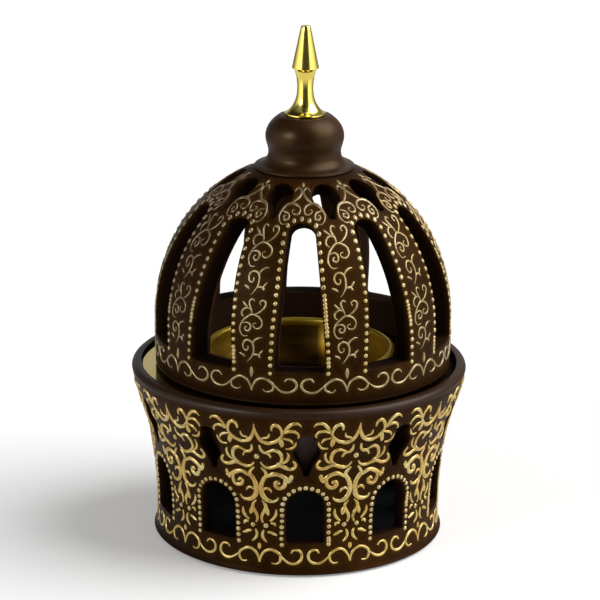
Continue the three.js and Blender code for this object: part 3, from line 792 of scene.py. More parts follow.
vine_foot = [
    Line(VINE, [(-1.5, 110.3), (-1.2, 109.6), (-1.8, 108.7), (-2.7, 108.9), (-3.3, 110), (-3.2, 111.2),
                (-2.3, 112.3), (-1.1, 112.4), (0, 111.8), (0.6, 110.6), (0.7, 109), (0.5, 107.6),
                (-0.2, 106.3), (-1, 105.2), (-1.7, 104.5)], 0.9, 0.3),
    Line(VINE, [(0.4, 111.3), (0.9, 112.5), (1.8, 113.3), (2.8, 113.7), (3.7, 113.7)], 0.9, 0.4),
    Line(0.38, [(0.5, 107.3), (1.5, 107.5), (2.5, 107.3), (2.9, 106.5)], 0.7, 1.4),
    Line(VINE, [(2.6, 107.5), (3.1, 108.3), (3.9, 109.2)], 0.9, 0.3),
    Line(0.38, [(-4.5, 107.5), (-3.4, 107.1), (-2.4, 106.3)], 1, 0.3),
]
VINE_REPEAT, LOWER_STRETCH = -23.6, 1.02  # the vine comes twice, the lower one a little wider
vine = vine_top + vine_foot
rib_lines = vine + [line.moved(0, VINE_REPEAT, LOWER_STRETCH) for line in vine]
rib_lines.append(Line(0.6, [(0, 79.2), (0, 77.6), (0, 75.3)], 0.5, 0.4))  # a drop at its foot
print("the vine of one rib has", len(rib_lines), "lines")

# %% The border round the dome's foot, and the scrolls over each window
BORDER = 0.44  # mm, half the width of the border's lines
rib_lines += both_sides([
    Line(BORDER, [(0, 70.4), (0.5, 72.3), (1.8, 74.3), (3.7, 75.2), (5.2, 75.1), (6.7, 74.2), (7.9, 73),
                  (8, 72), (7.7, 71.2), (6.9, 70.7), (5.7, 70.4), (4.7, 70.7), (4.2, 71.3)], 0.9),
    Line(BORDER, [(7.9, 73.3), (8.9, 72.3), (10.2, 71.2), (11.7, 70.6), (13.7, 70.6), (15.2, 71.2),
                  (16.2, 72.4), (16.4, 73.4), (16, 74.5), (14.9, 75.4), (13.5, 75.6), (12.5, 75.2),
                  (12, 74.4)], 0.7, 1),
])
window_lines = both_sides([
    Line(VINE, [(5.5, 127.5), (6.6, 127.2), (7.7, 127.8), (8.2, 129.1), (7.9, 130.4), (7, 131.6),
                (5.9, 132.5), (4.4, 133), (2.8, 133), (1.4, 132.5), (0.7, 131.6), (1, 130.6),
                (1.9, 130.1), (3, 130.3), (3.6, 130.9), (3.2, 131.4), (2.6, 131.3)]),
    Line(VINE, [(7.2, 131.2), (6.2, 130.9), (5.1, 130.6), (4.6, 129.6), (5.2, 128.7), (6.2, 128.7),
                (6.6, 129.4), (6.1, 130), (5.6, 129.6)]),
    Line(VINE, [(4.2, 132.9), (2.6, 133.8), (1.2, 134.8), (0.3, 135.9), (0.5, 136.7), (1.3, 137.2),
                (2.2, 136.9), (2.7, 136.2)]),
])
print("lines on a rib with its border:", len(rib_lines), "and over a window:", len(window_lines))

# %% Lines of one pier of the stand, from the top down
crest = [
    Line(0.56, [(0, 60.7), (0.05, 59), (0.2, 58), (0.6, 56.6), (1.3, 55), (2.3, 53.8), (3.6, 53.1),
                (5, 52.9), (6.5, 53.3), (7.8, 54), (9, 55.2), (9.9, 56.3), (10.3, 57.2)], 0.4, 0.9),
    Line(0.36, [(2.2, 54.3), (3.3, 54.9), (4.4, 55.1), (5.1, 55.8), (5.3, 56.6), (5.3, 57.1)], 0.6, 0.4),
    Line(0.5, [(9.9, 56.4), (10, 58), (9.6, 59.3), (8.8, 60.3), (7.8, 60.7), (6.9, 60.3), (6.4, 59.4),
               (6.3, 58.3)], 0.9, 0.8),
    Line(0.5, [(10.6, 57.5), (11.4, 58.8), (12.4, 60), (13.6, 61.1), (15, 61.5), (16.4, 61.1),
               (17, 60.2)], 0.9, 0.5),
    Line(0.44, [(10.8, 57.2), (11.9, 57.9), (13.2, 58.3), (14.6, 58.1), (15.6, 57.3), (15.9, 56.3),
                (15.6, 55.7)], 0.9, 0.9),
    Line(0.4, [(9.9, 55.5), (11, 55.1), (12.3, 54.8), (13.3, 53.9), (13.5, 53)], 0.9, 0.5),
    Line(0.7, [(9.4, 55), (9.4, 53.6), (9.6, 52.3), (9.4, 51.5)], 0.9, 0.4),
    Line(0.36, [(10.8, 50.9), (12.2, 50.8), (13.4, 51.3), (14.3, 52.4), (14.8, 53.8)], 1, 0.4),
]
mask = [
    Line(0.46, [(1.5, 51.9), (1.5, 50.6), (1.9, 49.5), (2.8, 48.8), (3.9, 48.6), (4.7, 47.9),
                (5.1, 46.9)], 0.7, 1),
    Line(0.52, [(3.6, 48.8), (4.8, 49.4), (6.2, 50), (7.6, 49.8), (8.7, 48.7), (9.1, 47.2), (9, 45.8),
                (8.2, 44.6), (7.2, 43.7)], 0.9, 1),
    Line(0.56, [(1.2, 44.5), (1.9, 43.3), (3.2, 42.5), (4.8, 42.5), (6.4, 43.1), (7.8, 43.6),
                (9.3, 43.2), (10.8, 42.4), (12.3, 42.2), (13.5, 42.9), (13.9, 44), (13.4, 45.1),
                (12.8, 45.6)], 0.6, 0.9),
    Line(0.42, [(9.1, 44.5), (10.5, 45.4), (11.3, 46.8), (11.5, 48.1), (11.1, 49.2)], 1, 0.5),
]
great_scroll = [
    Line(0.72, [(1.2, 42.3), (2.2, 41.3), (3, 40), (2.9, 39), (2.1, 37.8), (1.3, 36.2), (0.9, 34.3),
                (1, 32.3), (1.7, 30.5), (2.9, 29.3), (4.6, 28.9), (6, 29.2), (6.8, 29.9),
                (7.1, 30.6)], 0.6, 0.5),
    Line(0.66, [(2.4, 38), (4, 39.1), (5.8, 40), (7.6, 39.8), (9.4, 38.9), (10.8, 38),
                (12.3, 37.6)], 0.8, 0.9),
    Line(0.6, [(11.6, 38), (12.1, 39), (12, 39.9)], 1, 0.8),
    Line(0.6, [(10.8, 37.6), (11.2, 36.6)], 1, 0.8),
    Line(0.6, [(9.6, 38.4), (9.8, 36.8), (9.2, 35.1), (8, 34.3), (6.7, 34.6), (6, 35.6), (6.3, 36.6),
               (7.1, 36.8), (7.6, 36)], 1, 1.1),
    Line(0.42, [(1.6, 33), (2.5, 33.9), (3.6, 33.9), (4.4, 33.2), (4.6, 32.5)], 0.8, 0.6),
]
trunk = [
    Line(0.5, [(1, 29), (1.9, 28), (2.5, 26.6), (2, 25), (1.2, 23.6), (0.8, 22.2), (1, 21),
               (1.4, 20.3)], 0.5, 0.8),
    Line(0.66, [(2.4, 26.3), (2.9, 24.8), (3.3, 23.2)], 1, 0.5),
    Line(0.42, [(4, 21), (5.1, 22.1), (6, 23.5), (6.2, 25), (6.1, 25.8)], 1, 0.4),
    Line(0.42, [(4.2, 20.1), (5.5, 20.1), (5.8, 19)], 1, 0.5),
    Line(0.42, [(1.6, 17.4), (1.1, 16.2), (1.1, 14.8), (1.8, 13.6), (2.8, 12.7)], 0.8, 0.4),
    Line(0.46, [(3, 16.7), (4.4, 16.5), (5.2, 16), (6.4, 15.6)], 1, 0.7),
]
foot_border = [
    Line(0.42, [(0, 4.9), (0.5, 7), (1.7, 8.9), (3.4, 9.9), (5, 9.8), (6.5, 9), (7.6, 7.9), (7.7, 6.6),
                (7.3, 5.4), (6.3, 4.7), (5.1, 4.7), (4.6, 4.9)], 0.9, 0.8),
    Line(0.42, [(7.5, 8), (8.6, 6.8), (10, 5.7), (11.7, 5), (13.4, 5.1), (14.8, 5.9), (15.5, 7.3),
                (15.3, 8.8), (14.3, 9.9), (13, 10.1), (12, 9.7), (11.7, 8.9)], 0.7, 1),
]
pier_lines = both_sides(crest + mask + great_scroll + trunk + foot_border)
pier_lines.append(Line(0.58, [(0, 12.1), (0, 11), (0, 9.7)], 0.9, 0.4))
print("lines on a pier:", len(pier_lines))

# %% [markdown]
# ## From lines to strands
# No two bays of hand-piped work are alike, so each bay shifts the same lines by a slow noise,
# a tenth of a millimetre or two, and lets their width swell and shrink. The width itself is
# the radius of each point on the curve, so one bevel serves every line. Vector noise is a
# different one in each run unless it is given a seed, so the seed comes first.

# %% Strands
NOISE_SEED = 7
noise.seed_set(NOISE_SEED)
WOBBLE, WOBBLE_CLOUDS = 0.16, 0.22  # how far, in mm, and how many clouds of noise to a mm
SWELL, SWELL_CLOUDS, SWELL_SEED = 0.24, 0.5, 40
BAY_SEED = 3.7  # each bay reads the noise this far from the last one
RELIEF = 0.66  # the strands are flatter than round
LEAF, LEAF_MIDDLE = 0.3, 1.4  # a line is fuller in its middle than near its ends
TAPER = 5  # the ends narrow over the first and the last fifth of a line


def strand_points(line, step, seed, fullness):
    """Points and half widths along one line, wobbled for its bay."""
    smooth = smooth_line(line.points, 8)
    steps = max(4, round(np.hypot(*np.diff(smooth, axis=0).T).sum() / step))
    track = evenly(smooth, steps)
    share = np.linspace(0, 1, steps + 1)
    ends = np.minimum(line.start + (1 - line.start) * np.minimum(share * TAPER, 1),
                      line.end + (1 - line.end) * np.minimum((1 - share) * TAPER, 1))
    blob = 1 + max(line.end - 1, 0) * np.clip(share * TAPER - (TAPER - 1), 0, 1)
    halves = []
    for i, (x, z) in enumerate(track):
        push = noise.noise_vector(Vector((x * WOBBLE_CLOUDS, z * WOBBLE_CLOUDS, seed)))
        track[i] += np.array(push[:2]) * WOBBLE
        swell_place = Vector((x * SWELL_CLOUDS, z * SWELL_CLOUDS, seed + SWELL_SEED))
        swell = 1 + SWELL * noise.noise(swell_place)
        leaf = 1 - LEAF + LEAF_MIDDLE * LEAF * math.sin(math.pi * share[i])
        halves.append(fullness * line.half * swell * leaf * min(ends[i], 1) * blob[i])
    return track, halves


def strands(lines, step, seed, fullness):
    """A mesh of strands in flat millimetres: across, up and out."""
    curve = bpy.data.curves.new("strands", "CURVE")
    curve.dimensions, curve.fill_mode, curve.use_fill_caps = "3D", "FULL", True
    curve.bevel_depth, curve.bevel_resolution, curve.twist_mode = 1.0, 2, "Z_UP"
    for line in lines:
        track, halves = strand_points(line, step, seed, fullness)
        spline = curve.splines.new("POLY")
        spline.points.add(len(track) - 1)
        for point, place, half in zip(spline.points, track, halves):
            point.co, point.radius = (*place, 0, 1), half
    obj = bpy.data.objects.new("strands", curve)
    bpy.context.scene.collection.objects.link(obj)
    clear_selection()
    obj.select_set(True)
    bpy.context.view_layer.objects.active = obj
    bpy.ops.object.convert(target="MESH")
    flat = bpy.context.object
    points = np.zeros(len(flat.data.vertices) * 3)
    flat.data.vertices.foreach_get("co", points)
    faces = [tuple(face.vertices) for face in flat.data.polygons]
    bpy.data.objects.remove(flat)
    return points.reshape(-1, 3), faces


# %% Pipe the lines onto the walls
def piped(name, wall, groups, step, fullness, body):
    """All bays' strands as one piece; groups are lists of lines, each with its first angle."""
    points, faces, count = [], [], 0
    for lines, first in groups:
        for i in range(BAYS):
            flat, flat_faces = strands(lines, step, i * BAY_SEED, fullness)
            laid = wall.lay(flat[:, 0], flat[:, 1], flat[:, 2] * RELIEF, first + i * BAY)
            points.append(laid)
            faces += [tuple(count + v for v in face) for face in flat_faces]
            count += len(laid)
    obj = add_object(name, np.vstack(points), faces, smooth_angle=60)
    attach(obj, body)
    print(name, "has", len(obj.data.polygons), "faces")
    return obj


dome_scrolls = piped("dome_scrolls", dome_outside, [(rib_lines, BAY / 2), (window_lines, 0)],
                     step=0.42, fullness=0.96, body="lid")
stand_scrolls = piped("stand_scrolls", stand_outside, [(pier_lines, BAY / 2)],
                      step=0.55, fullness=1.12, body="base")

# %% [markdown]
# ## Beads
# A row of beads follows each window and each arch, a fixed margin outside its edge. A bead is
# a low round drop: one small ball, pressed flat and copied. Here and there on the real piece
# the beads run into each other, so extra drops fill the gaps of a row in a few stretches. An
# array modifier on a curve could lay them, but then all drops would be alike and evenly set.

# %% Rows of beads
WINDOW_MARGIN, WINDOW_BEADS, BEAD = 1.15, 41, 0.79  # margin, number in a row and radius
ARCH_MARGIN, ARCH_BEADS, ARCH_BEAD = 1.25, 25, 0.82
WINDOW_ROW_FOOT, ARCH_ROW_FOOT = 77.4, 12.1  # heights of the lowest beads
STRAIGHT_START = 3.0  # mm over the foot of a row, where it does not yet follow the opening


def row_beside(opening, margin, foot, count):
    """Evenly spaced places along an opening's outline, from its foot over its head."""
    loop = smooth_line(opening[0], 2, closed=True)
    tangent = np.roll(loop, -1, axis=0) - np.roll(loop, 1, axis=0)
    tangent /= np.linalg.norm(tangent, axis=1)[:, None]
    away = loop + np.stack([tangent[:, 1], -tangent[:, 0]], 1) * margin
    right_side = away[(away[:, 0] >= 0) & (away[:, 1] > foot + STRAIGHT_START)]
    right_side = right_side[np.argsort(right_side[:, 1])]
    right_side = np.vstack([[(right_side[0, 0], foot)], right_side])
    row = np.vstack([right_side, (right_side * (-1, 1))[::-1]])
    return evenly(row, count - 1)


window_row = row_beside(window, WINDOW_MARGIN, WINDOW_ROW_FOOT, WINDOW_BEADS)
arch_row = row_beside(arch, ARCH_MARGIN, ARCH_ROW_FOOT, ARCH_BEADS)
print("beads are", round(float(np.hypot(*(window_row[1] - window_row[0]))), 2), "mm apart on the dome")

# %% Beads
BEAD_HEIGHT, DIMPLE = 0.66, 0.6  # the tip of each drop has sunk in as it dried
SIZE_CHANCE, PLACE_CHANCE, CHANCE_CLOUDS, CHANCE_SEED = 0.16, 0.2, 1.7, 5.3
RUN_TOGETHER = 0.24  # where a slow noise passes this, extra drops fill the row
RUN_CLOUDS, RUN_SEED = (0.3, 0.09), 2.9  # that noise changes more slowly upwards than across
ROUND_HEAD = 0.66  # no extra drops over this share of a row's height


def fillers(row, bay):
    """Places of the extra drops between those of a row, in the stretches that ran together."""
    head = row[0, 1] + ROUND_HEAD * np.ptp(row[:, 1])
    across, up = RUN_CLOUDS
    return [(x, z) for x, z in (row[1:] + row[:-1]) / 2 if z < head
            and noise.noise(Vector((x * across, z * up, bay * RUN_SEED))) > RUN_TOGETHER]


def dotted(name, wall, groups, body):
    """All bays' beads; groups are (places, radius) with their first angle."""
    clear_selection()
    bpy.ops.mesh.primitive_ico_sphere_add(subdivisions=2, radius=1)
    ball = bpy.context.object
    shape = np.array([v.co for v in ball.data.vertices])
    shape[np.argmax(shape[:, 2]), 2] *= DIMPLE
    ball_faces = [tuple(face.vertices) for face in ball.data.polygons]
    bpy.data.objects.remove(ball)
    points, faces, count = [], [], 0
    for places, radius, first in groups:
        for i in range(BAYS):
            row = np.asarray(places, float)
            filled = fillers(row, i) if len(row) > 2 else []
            for x, z in [*row, *filled]:
                chance = noise.noise_vector(
                    Vector((x * CHANCE_CLOUDS, z * CHANCE_CLOUDS, i * CHANCE_SEED)))
                size = radius * (1 + SIZE_CHANCE * chance[0])
                middle = (x + PLACE_CHANCE * chance[1], z + PLACE_CHANCE * chance[2], 0)
                flat = shape * (size, size, BEAD_HEIGHT * size) + middle
                laid = wall.lay(flat[:, 0], flat[:, 1], flat[:, 2], first + i * BAY)
                points.append(laid)
                faces += [tuple(count + v for v in face) for face in ball_faces]
                count += len(laid)
    obj = add_object(name, np.vstack(points), faces, smooth_angle=60)
    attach(obj, body)
    print(name, "has", len(obj.data.polygons), "faces")
    return obj


TOP_DROP = [(0, 137.8)]  # one over the scrolls of each window
PIER_EYE, PIER_CHEEKS, PIER_FOOT = [(0, 47)], [(7.8, 44), (-7.8, 44)], [(2.4, 19.2), (-2.4, 19.2)]
dome_beads = dotted("dome_beads", dome_outside, [(window_row, BEAD, 0), (TOP_DROP, 0.6, 0)], "lid")
stand_beads = dotted("stand_beads", stand_outside, [
    (arch_row, ARCH_BEAD, 0), (PIER_EYE, 1, BAY / 2), (PIER_CHEEKS, 0.9, BAY / 2),
    (PIER_FOOT, 0.9, BAY / 2)], "base")

# %% [markdown]
# ## Gold dust on the wall
# The gold was brushed on, and some of it stained the wall beside the lines. Each point of the
# two shells remembers how near it is to the ornament, and the resin's finish tints it. An
# attribute on the mesh does this without an image, and it moves with the piece. In the same
# way each point remembers how deep it lies under the outer face, where the finish paints shade.

# %% Mark the wall near the ornament
DUST_REACH = 1.2  # mm


def mark_dust(shell_piece, *ornaments):
    """Notes on each point how near the ornament is; every third point of that is enough."""
    spots = [v.co for piece in ornaments for v in list(piece.data.vertices)[::3]]
    tree = kdtree.KDTree(len(spots))
    for i, spot in enumerate(spots):
        tree.insert(spot, i)
    tree.balance()
    near = [math.exp(-(tree.find(v.co)[2] / MM / DUST_REACH) ** 2)
            for v in shell_piece.data.vertices]
    layer = shell_piece.data.attributes.new("gilding", "FLOAT", "POINT")
    layer.data.foreach_set("value", near)
    print(shell_piece.name, "has gold dust on", round(100 * sum(near) / len(near)), "% of its points")


mark_dust(dome, dome_scrolls, dome_beads)
mark_dust(stand, stand_scrolls, stand_beads)

# %% Mark how deep each point lies under the outer face
def stand_depth(x, y, z):
    """How far a place in millimetres lies under the stand's outer face; the rim's top counts as outer
    face.
    """
    radius = math.hypot(x, y)
    on_rim = z > RIM_TOP - 0.7 and radius > RECESS_RADIUS + 0.1
    return 0 if on_rim else stand_outside.radius(z) - radius


for shell_piece, depth in ((dome, dome_depth), (stand, stand_depth)):
    deep = [max(depth(*(v.co / MM)), 0) for v in shell_piece.data.vertices]
    shell_piece.data.attributes.new("depth", "FLOAT", "POINT").data.foreach_set("value", deep)
    print(shell_piece.name, "is up to", round(max(deep), 1), "mm deep")

# %% [markdown]
# ## Shader sums as plain expressions
# A material is a small piece of arithmetic over the surface. Wired by hand it takes many
# nodes and reads badly, so one small class wraps a socket and adds the Math nodes when two
# values are added, multiplied or compared. A second one adds every other kind of node, for
# the materials and for the world alike.


# %% Values and wiring
class Value:
    """A socket that can stand in a sum."""

    def __init__(self, wiring, socket):
        self.wiring, self.socket = wiring, socket

    def maths(self, operation, *values):
        return self.wiring.node("ShaderNodeMath", {"operation": operation}, dict(enumerate(values)))

    def __add__(self, other):
        return self.maths("ADD", self, other)

    def __mul__(self, other):
        return self.maths("MULTIPLY", self, other)

    def __sub__(self, other):
        return self.maths("SUBTRACT", self, other)

    def __rsub__(self, other):
        return self.maths("SUBTRACT", other, self)

    def __truediv__(self, other):
        return self.maths("DIVIDE", self, other)

    __radd__, __rmul__ = __add__, __mul__

    def root(self):
        return self.maths("SQRT", self)

    def larger(self, other):
        return self.maths("MAXIMUM", self, other)


class Wiring:
    """A node tree, and what adds nodes to it."""

    def __init__(self, tree):
        self.tree = tree

    def fill(self, node, sockets):
        for key, value in sockets.items():
            if isinstance(value, Value):
                self.tree.links.new(value.socket, node.inputs[key])
            else:
                node.inputs[key].default_value = value

    def node(self, kind, settings, sockets, output=0):
        """Adds a node with its settings, then its sockets, and gives back one of its outputs."""
        made = self.tree.nodes.new(kind)
        for key, value in settings.items():
            if key == "stops":
                self.grey_ramp(made.color_ramp, value)
            else:
                setattr(made, key, value)
        self.fill(made, sockets)
        return Value(self, made.outputs[output]) if made.outputs else None

    def grey_ramp(self, ramp, stops):
        """Sets a ramp's stops from (position, brightness) pairs."""
        while len(ramp.elements) < len(stops):
            ramp.elements.new(0.5)
        for stop, (position, grey) in zip(ramp.elements, stops):
            stop.position, stop.color = position, (grey, grey, grey, 1)

    def parts(self, vector):
        """The three numbers of a place or a direction: across, away and up."""
        first = self.node("ShaderNodeSeparateXYZ", {}, {0: vector})
        return [Value(self, socket) for socket in first.socket.node.outputs]

    def range(self, value, low, high, to_low=0.0, to_high=1.0):
        """Turns the span from low to high into another one, and holds it beyond."""
        return self.node("ShaderNodeMapRange", {}, {
            "Value": value, "From Min": low, "From Max": high, "To Min": to_low, "To Max": to_high})

    def ray(self, kind):
        """1 for light that goes to the camera, off a glossy face or through glass."""
        return self.node("ShaderNodeLightPath", {}, {}, f"Is {kind} Ray")


# %% Finishes
class Finish(Wiring):
    """A material in the making, on one Principled shader."""

    def __init__(self, name, **plain):
        self.material = bpy.data.materials.new(name)
        self.material.use_nodes = True
        super().__init__(self.material.node_tree)
        self.shader = self.tree.nodes["Principled BSDF"]
        self.fill(self.shader, {key.replace("_", " "): value for key, value in plain.items()})
        self.place = self.node("ShaderNodeTexCoord", {}, {}, "Object")

    def noise(self, scale, detail=3.0, roughness=0.55, place=None):
        """Cloudy values round a half; scale is how many clouds there are to a metre."""
        return self.node("ShaderNodeTexNoise", {}, {
            "Vector": place or self.place, "Scale": scale, "Detail": detail, "Roughness": roughness})

    def stretched(self, scale):
        """The place with each direction scaled, which stretches the noise that reads it."""
        return self.node("ShaderNodeMapping", {}, {"Vector": self.place, "Scale": scale})

    def mix(self, share, a, b):
        """Colour a where the share is 0 and colour b where it is 1."""
        return self.node("ShaderNodeMix", {"data_type": "RGBA"}, {0: share, 6: a, 7: b}, 2)

    def attribute(self, name):
        """What the piece's points remember under a name, and 0 where they remember nothing."""
        return self.node("ShaderNodeAttribute", {"attribute_name": name}, {}, "Fac")

    def bump(self, height, strength, distance):
        """Small ups and downs, at most a distance in metres."""
        return self.node("ShaderNodeBump", {}, {
            "Height": height, "Strength": strength, "Distance": distance}, "Normal")

    def finished(self, **sockets):
        """Fills the shader's sockets, and gives back the material."""
        self.fill(self.shader, {key.replace("_", " "): value for key, value in sockets.items()})
        print("finish:", self.material.name, "with", len(self.tree.nodes), "nodes")
        return self.material


def shade(red, green, blue):
    """A colour given as it is seen on a screen, from 0 to 255, as Blender's linear values."""
    screen = [c / 255 for c in (red, green, blue)]
    return (*[c / 12.92 if c < 0.04045 else ((c + 0.055) / 1.055) ** 2.4 for c in screen], 1.0)


def paint(obj, material):
    """Gives a piece one material."""
    obj.data.materials.clear()
    obj.data.materials.append(material)


# %% [markdown]
# ## Resin
# The resin is dark brown and satin. Its colour drifts a little in clouds some millimetres
# wide, and gold dust has been wiped round the ornament, which turns the brown towards olive
# there. The knob and the rim are handled most and shine a little more. Shade is painted dark
# onto the cut faces of the openings and the stand's hollows, and painted light makes the dome's
# lining paler than they are. A painted image could hold all this, but noise and the points'
# own notes need no picture and no unwrapping.

# %% Resin
SHADE_DEPTH = 2.6  # mm under the outer face
# From this depth on, painted light makes the dome's lining a paler brown.
LINING = DOME_WALL - 1.1, DOME_WALL - 0.3  # mm deep, where the dome's lining begins
RIM_START, RIM_END = (62.5 * MM, 64.5 * MM), (66.2 * MM, 67 * MM)  # the gloss fades in and out
BROWN_DARK, BROWN_LIGHT, DUSTED_BROWN = shade(34, 18, 5), shade(51, 28, 8), shade(74, 51, 12)
# A dark brown of painted shade for the cut faces and hollows, and a paler brown of painted light for the
# dome's lining.
PAINTED_SHADE_BROWN, LIT_LINING_BROWN = shade(29, 17, 10), shade(96, 68, 54)


def cast_resin(name, ior, shine):
    """Dark brown resin; shine is how strongly it mirrors the room straight on."""
    made = Finish(name, IOR=ior, Specular_IOR_Level=shine, Specular_Tint=(1, 0.64, 0.33, 1),
                  Coat_Roughness=0.42, Coat_IOR=1.42)
    clouds = made.noise(55, 4)
    speckle = made.noise(900, 2)
    up = made.parts(made.place)[2]
    brown = made.mix(made.range(clouds, 0.3, 0.7), BROWN_DARK, BROWN_LIGHT)
    dusted = made.mix(made.attribute("gilding") * made.range(speckle, 0.3, 0.7, 0.15, 0.7),
                      brown, DUSTED_BROWN)
    rim = made.range(up, *RIM_START) * made.range(up, *RIM_END, 1, 0)
    # Painted shade: the brown turns dark deep under the outer face, on the cut faces and in the hollows.
    depth = made.attribute("depth")
    painted_shade, lit_lining = made.range(depth, 0, SHADE_DEPTH), made.range(depth, *LINING)
    # Painted light: the dome's lining turns a paler brown.
    return made.finished(
        Base_Color=made.mix(lit_lining, made.mix(painted_shade, dusted, PAINTED_SHADE_BROWN), LIT_LINING_BROWN),
        Roughness=made.range(clouds + 0.35 * speckle, 0.4, 0.9, 0.34, 0.46) + painted_shade * 0.45,
        Coat_Weight=rim * (0.5 - painted_shade * 0.5),
        Normal=made.bump(made.noise(420, 5, 0.6), 0.16, 0.00012))


resin_material = cast_resin("brown_resin", ior=1.28, shine=0.1)
knob_material = cast_resin("turned_resin", ior=1.46, shine=0.3)

# %% The basin's rough resin
inner = Finish("rough_resin", Roughness=0.55)
inner_clouds = inner.noise(70, 4)
inner_material = inner.finished(
    Base_Color=inner.mix(inner_clouds, shade(62, 34, 22), shade(88, 52, 34)),
    Normal=inner.bump(inner.noise(500, 4), 0.25, 0.0002))

# %% [markdown]
# ## Metals
# Real metal takes its look from what it mirrors. A metal finish is therefore a colour, a
# roughness and very fine marks. The finial is polished and the tray is bright. The cup's
# sheet is duller, with painted shade: a brown low inside the cup and on the tray's edge, and
# a painted dark brown patch at the back, which shows through the middle window.


# %% Metals
# Painted shade in the sheet: a brown low in the cup and on the tray's edge, and a dark patch at the
# cup's back.
SHEET_SHADE_BROWN, DARK_PATCH_BROWN, DARK_PATCH_SHARE = shade(132, 98, 26), shade(52, 28, 8), 0.85
CUP_SHADED_BELOW, CUP_FADE = 66.5 * MM, 6 * MM
CUP_DARK_PATCH = -16 * MM, 10.6 * MM, 69.3 * MM  # its left, its right and its top
TRAY_SHADED_BELOW = (TRAY_TOP - 0.03) * MM  # all but the top of the flange


def metal(name, light, dark, rough, mark_scale, mark_depth, shaded_below=None, fade=0.1 * MM,
          dark_patch=None):
    """Bare metal; painted shade darkens it under a height, and a painted dark patch lies across its
    back.
    """
    made = Finish(name, Metallic=1.0)
    drift = made.noise(40, 3)
    marks = made.noise(1, 2, place=made.stretched(mark_scale))
    tone = made.mix(made.range(drift, 0.3, 0.7), light, dark)
    across, away, up = made.parts(made.place)
    # Painted shade: a darker brown under a height.
    if shaded_below:
        tone = made.mix(made.range(up, shaded_below - fade, shaded_below), SHEET_SHADE_BROWN, tone)
    # A painted dark patch stands in for the shade at the cup's back.
    if dark_patch:
        left, right, top = dark_patch
        patch = (made.range(across, left, left + 3 * MM)
                 * made.range(across, right - 2 * MM, right, 1, 0)
                 * made.range(away, 12 * MM, 20 * MM)
                 * made.range(up, top - 1.2 * MM, top, 1, 0))
        tone = made.mix(patch * DARK_PATCH_SHARE, tone, DARK_PATCH_BROWN)
    return made.finished(
        Base_Color=tone,
        Roughness=made.range(marks, 0.3, 0.7, rough * 0.8, rough * 1.25),
        Normal=made.bump(marks, 0.12, mark_depth))


brass_material = metal("polished_brass", shade(240, 218, 112), shade(236, 210, 98), 0.17,
                       (150, 150, 900), 0.00001)
sheet_material = metal("gold_sheet", shade(218, 190, 80), shade(212, 176, 50), 0.36,
                       (40, 40, 160), 0.0000002,
                       shaded_below=CUP_SHADED_BELOW, fade=CUP_FADE, dark_patch=CUP_DARK_PATCH)
tray_material = metal("bright_sheet", shade(214, 194, 112), shade(204, 182, 96), 0.1,
                      (60, 60, 900), 0.000006, shaded_below=TRAY_SHADED_BELOW)
zinc_material = metal("zinc_plate", shade(178, 180, 176), shade(160, 160, 158), 0.35,
                      (900, 900, 900), 0.00004)

# %% [markdown]
# ## Board and felt
# What closes the stand underneath is a matt black board with a felt disc under it. Both keep
# their measured shapes, so they only get a finish: fine noise for the board's grain, and a
# sheen with finer noise for the felt's fibres.

# %% Board and felt
board = Finish("black_board", Roughness=0.7, Specular_IOR_Level=0.1)
board_material = board.finished(
    Base_Color=board.mix(board.noise(90, 4), shade(13, 14, 16), shade(24, 25, 28)),
    Normal=board.bump(board.noise(1600, 3), 0.2, 0.0001))
felt = Finish("black_felt", Roughness=0.95, Sheen_Weight=0.4)
fibres = felt.noise(2600, 4, 0.7, place=felt.stretched((1, 1.6, 1)))
felt_material = felt.finished(
    Base_Color=felt.mix(fibres, shade(18, 17, 17), shade(46, 44, 43)),
    Normal=felt.bump(fibres, 0.6, 0.0003))

# %% [markdown]
# ## Gold paste
# The paste is a soft gold with amber and cream in it. On the dome it is duller low down, and
# painted shade darkens it high on the left and over the crown. A fine noise lets brown show
# through in worn spots. It is only partly metallic, because paste holds its bright flakes in a binder.

# %% Gold paste
LOW_START, LOW_END, LOW_DRIFT = 112 * MM, 128 * MM, 20 * MM
# Where the painted shade lies on the dome: across on the left, and the heights it grows over.
SHADE_LEFT_FULL, SHADE_LEFT_START = -48 * MM, -20 * MM  # across, and from the lower height to the upper one
SHADE_LEFT_LOW, SHADE_LEFT_HIGH = 76 * MM, 100 * MM
CROWN_SLANT, SHADE_CROWN_FULL, SHADE_CROWN_START = 2.2, -300 * MM, -250 * MM  # a slanted edge over the crown
WORN_BROWN = shade(104, 70, 26)


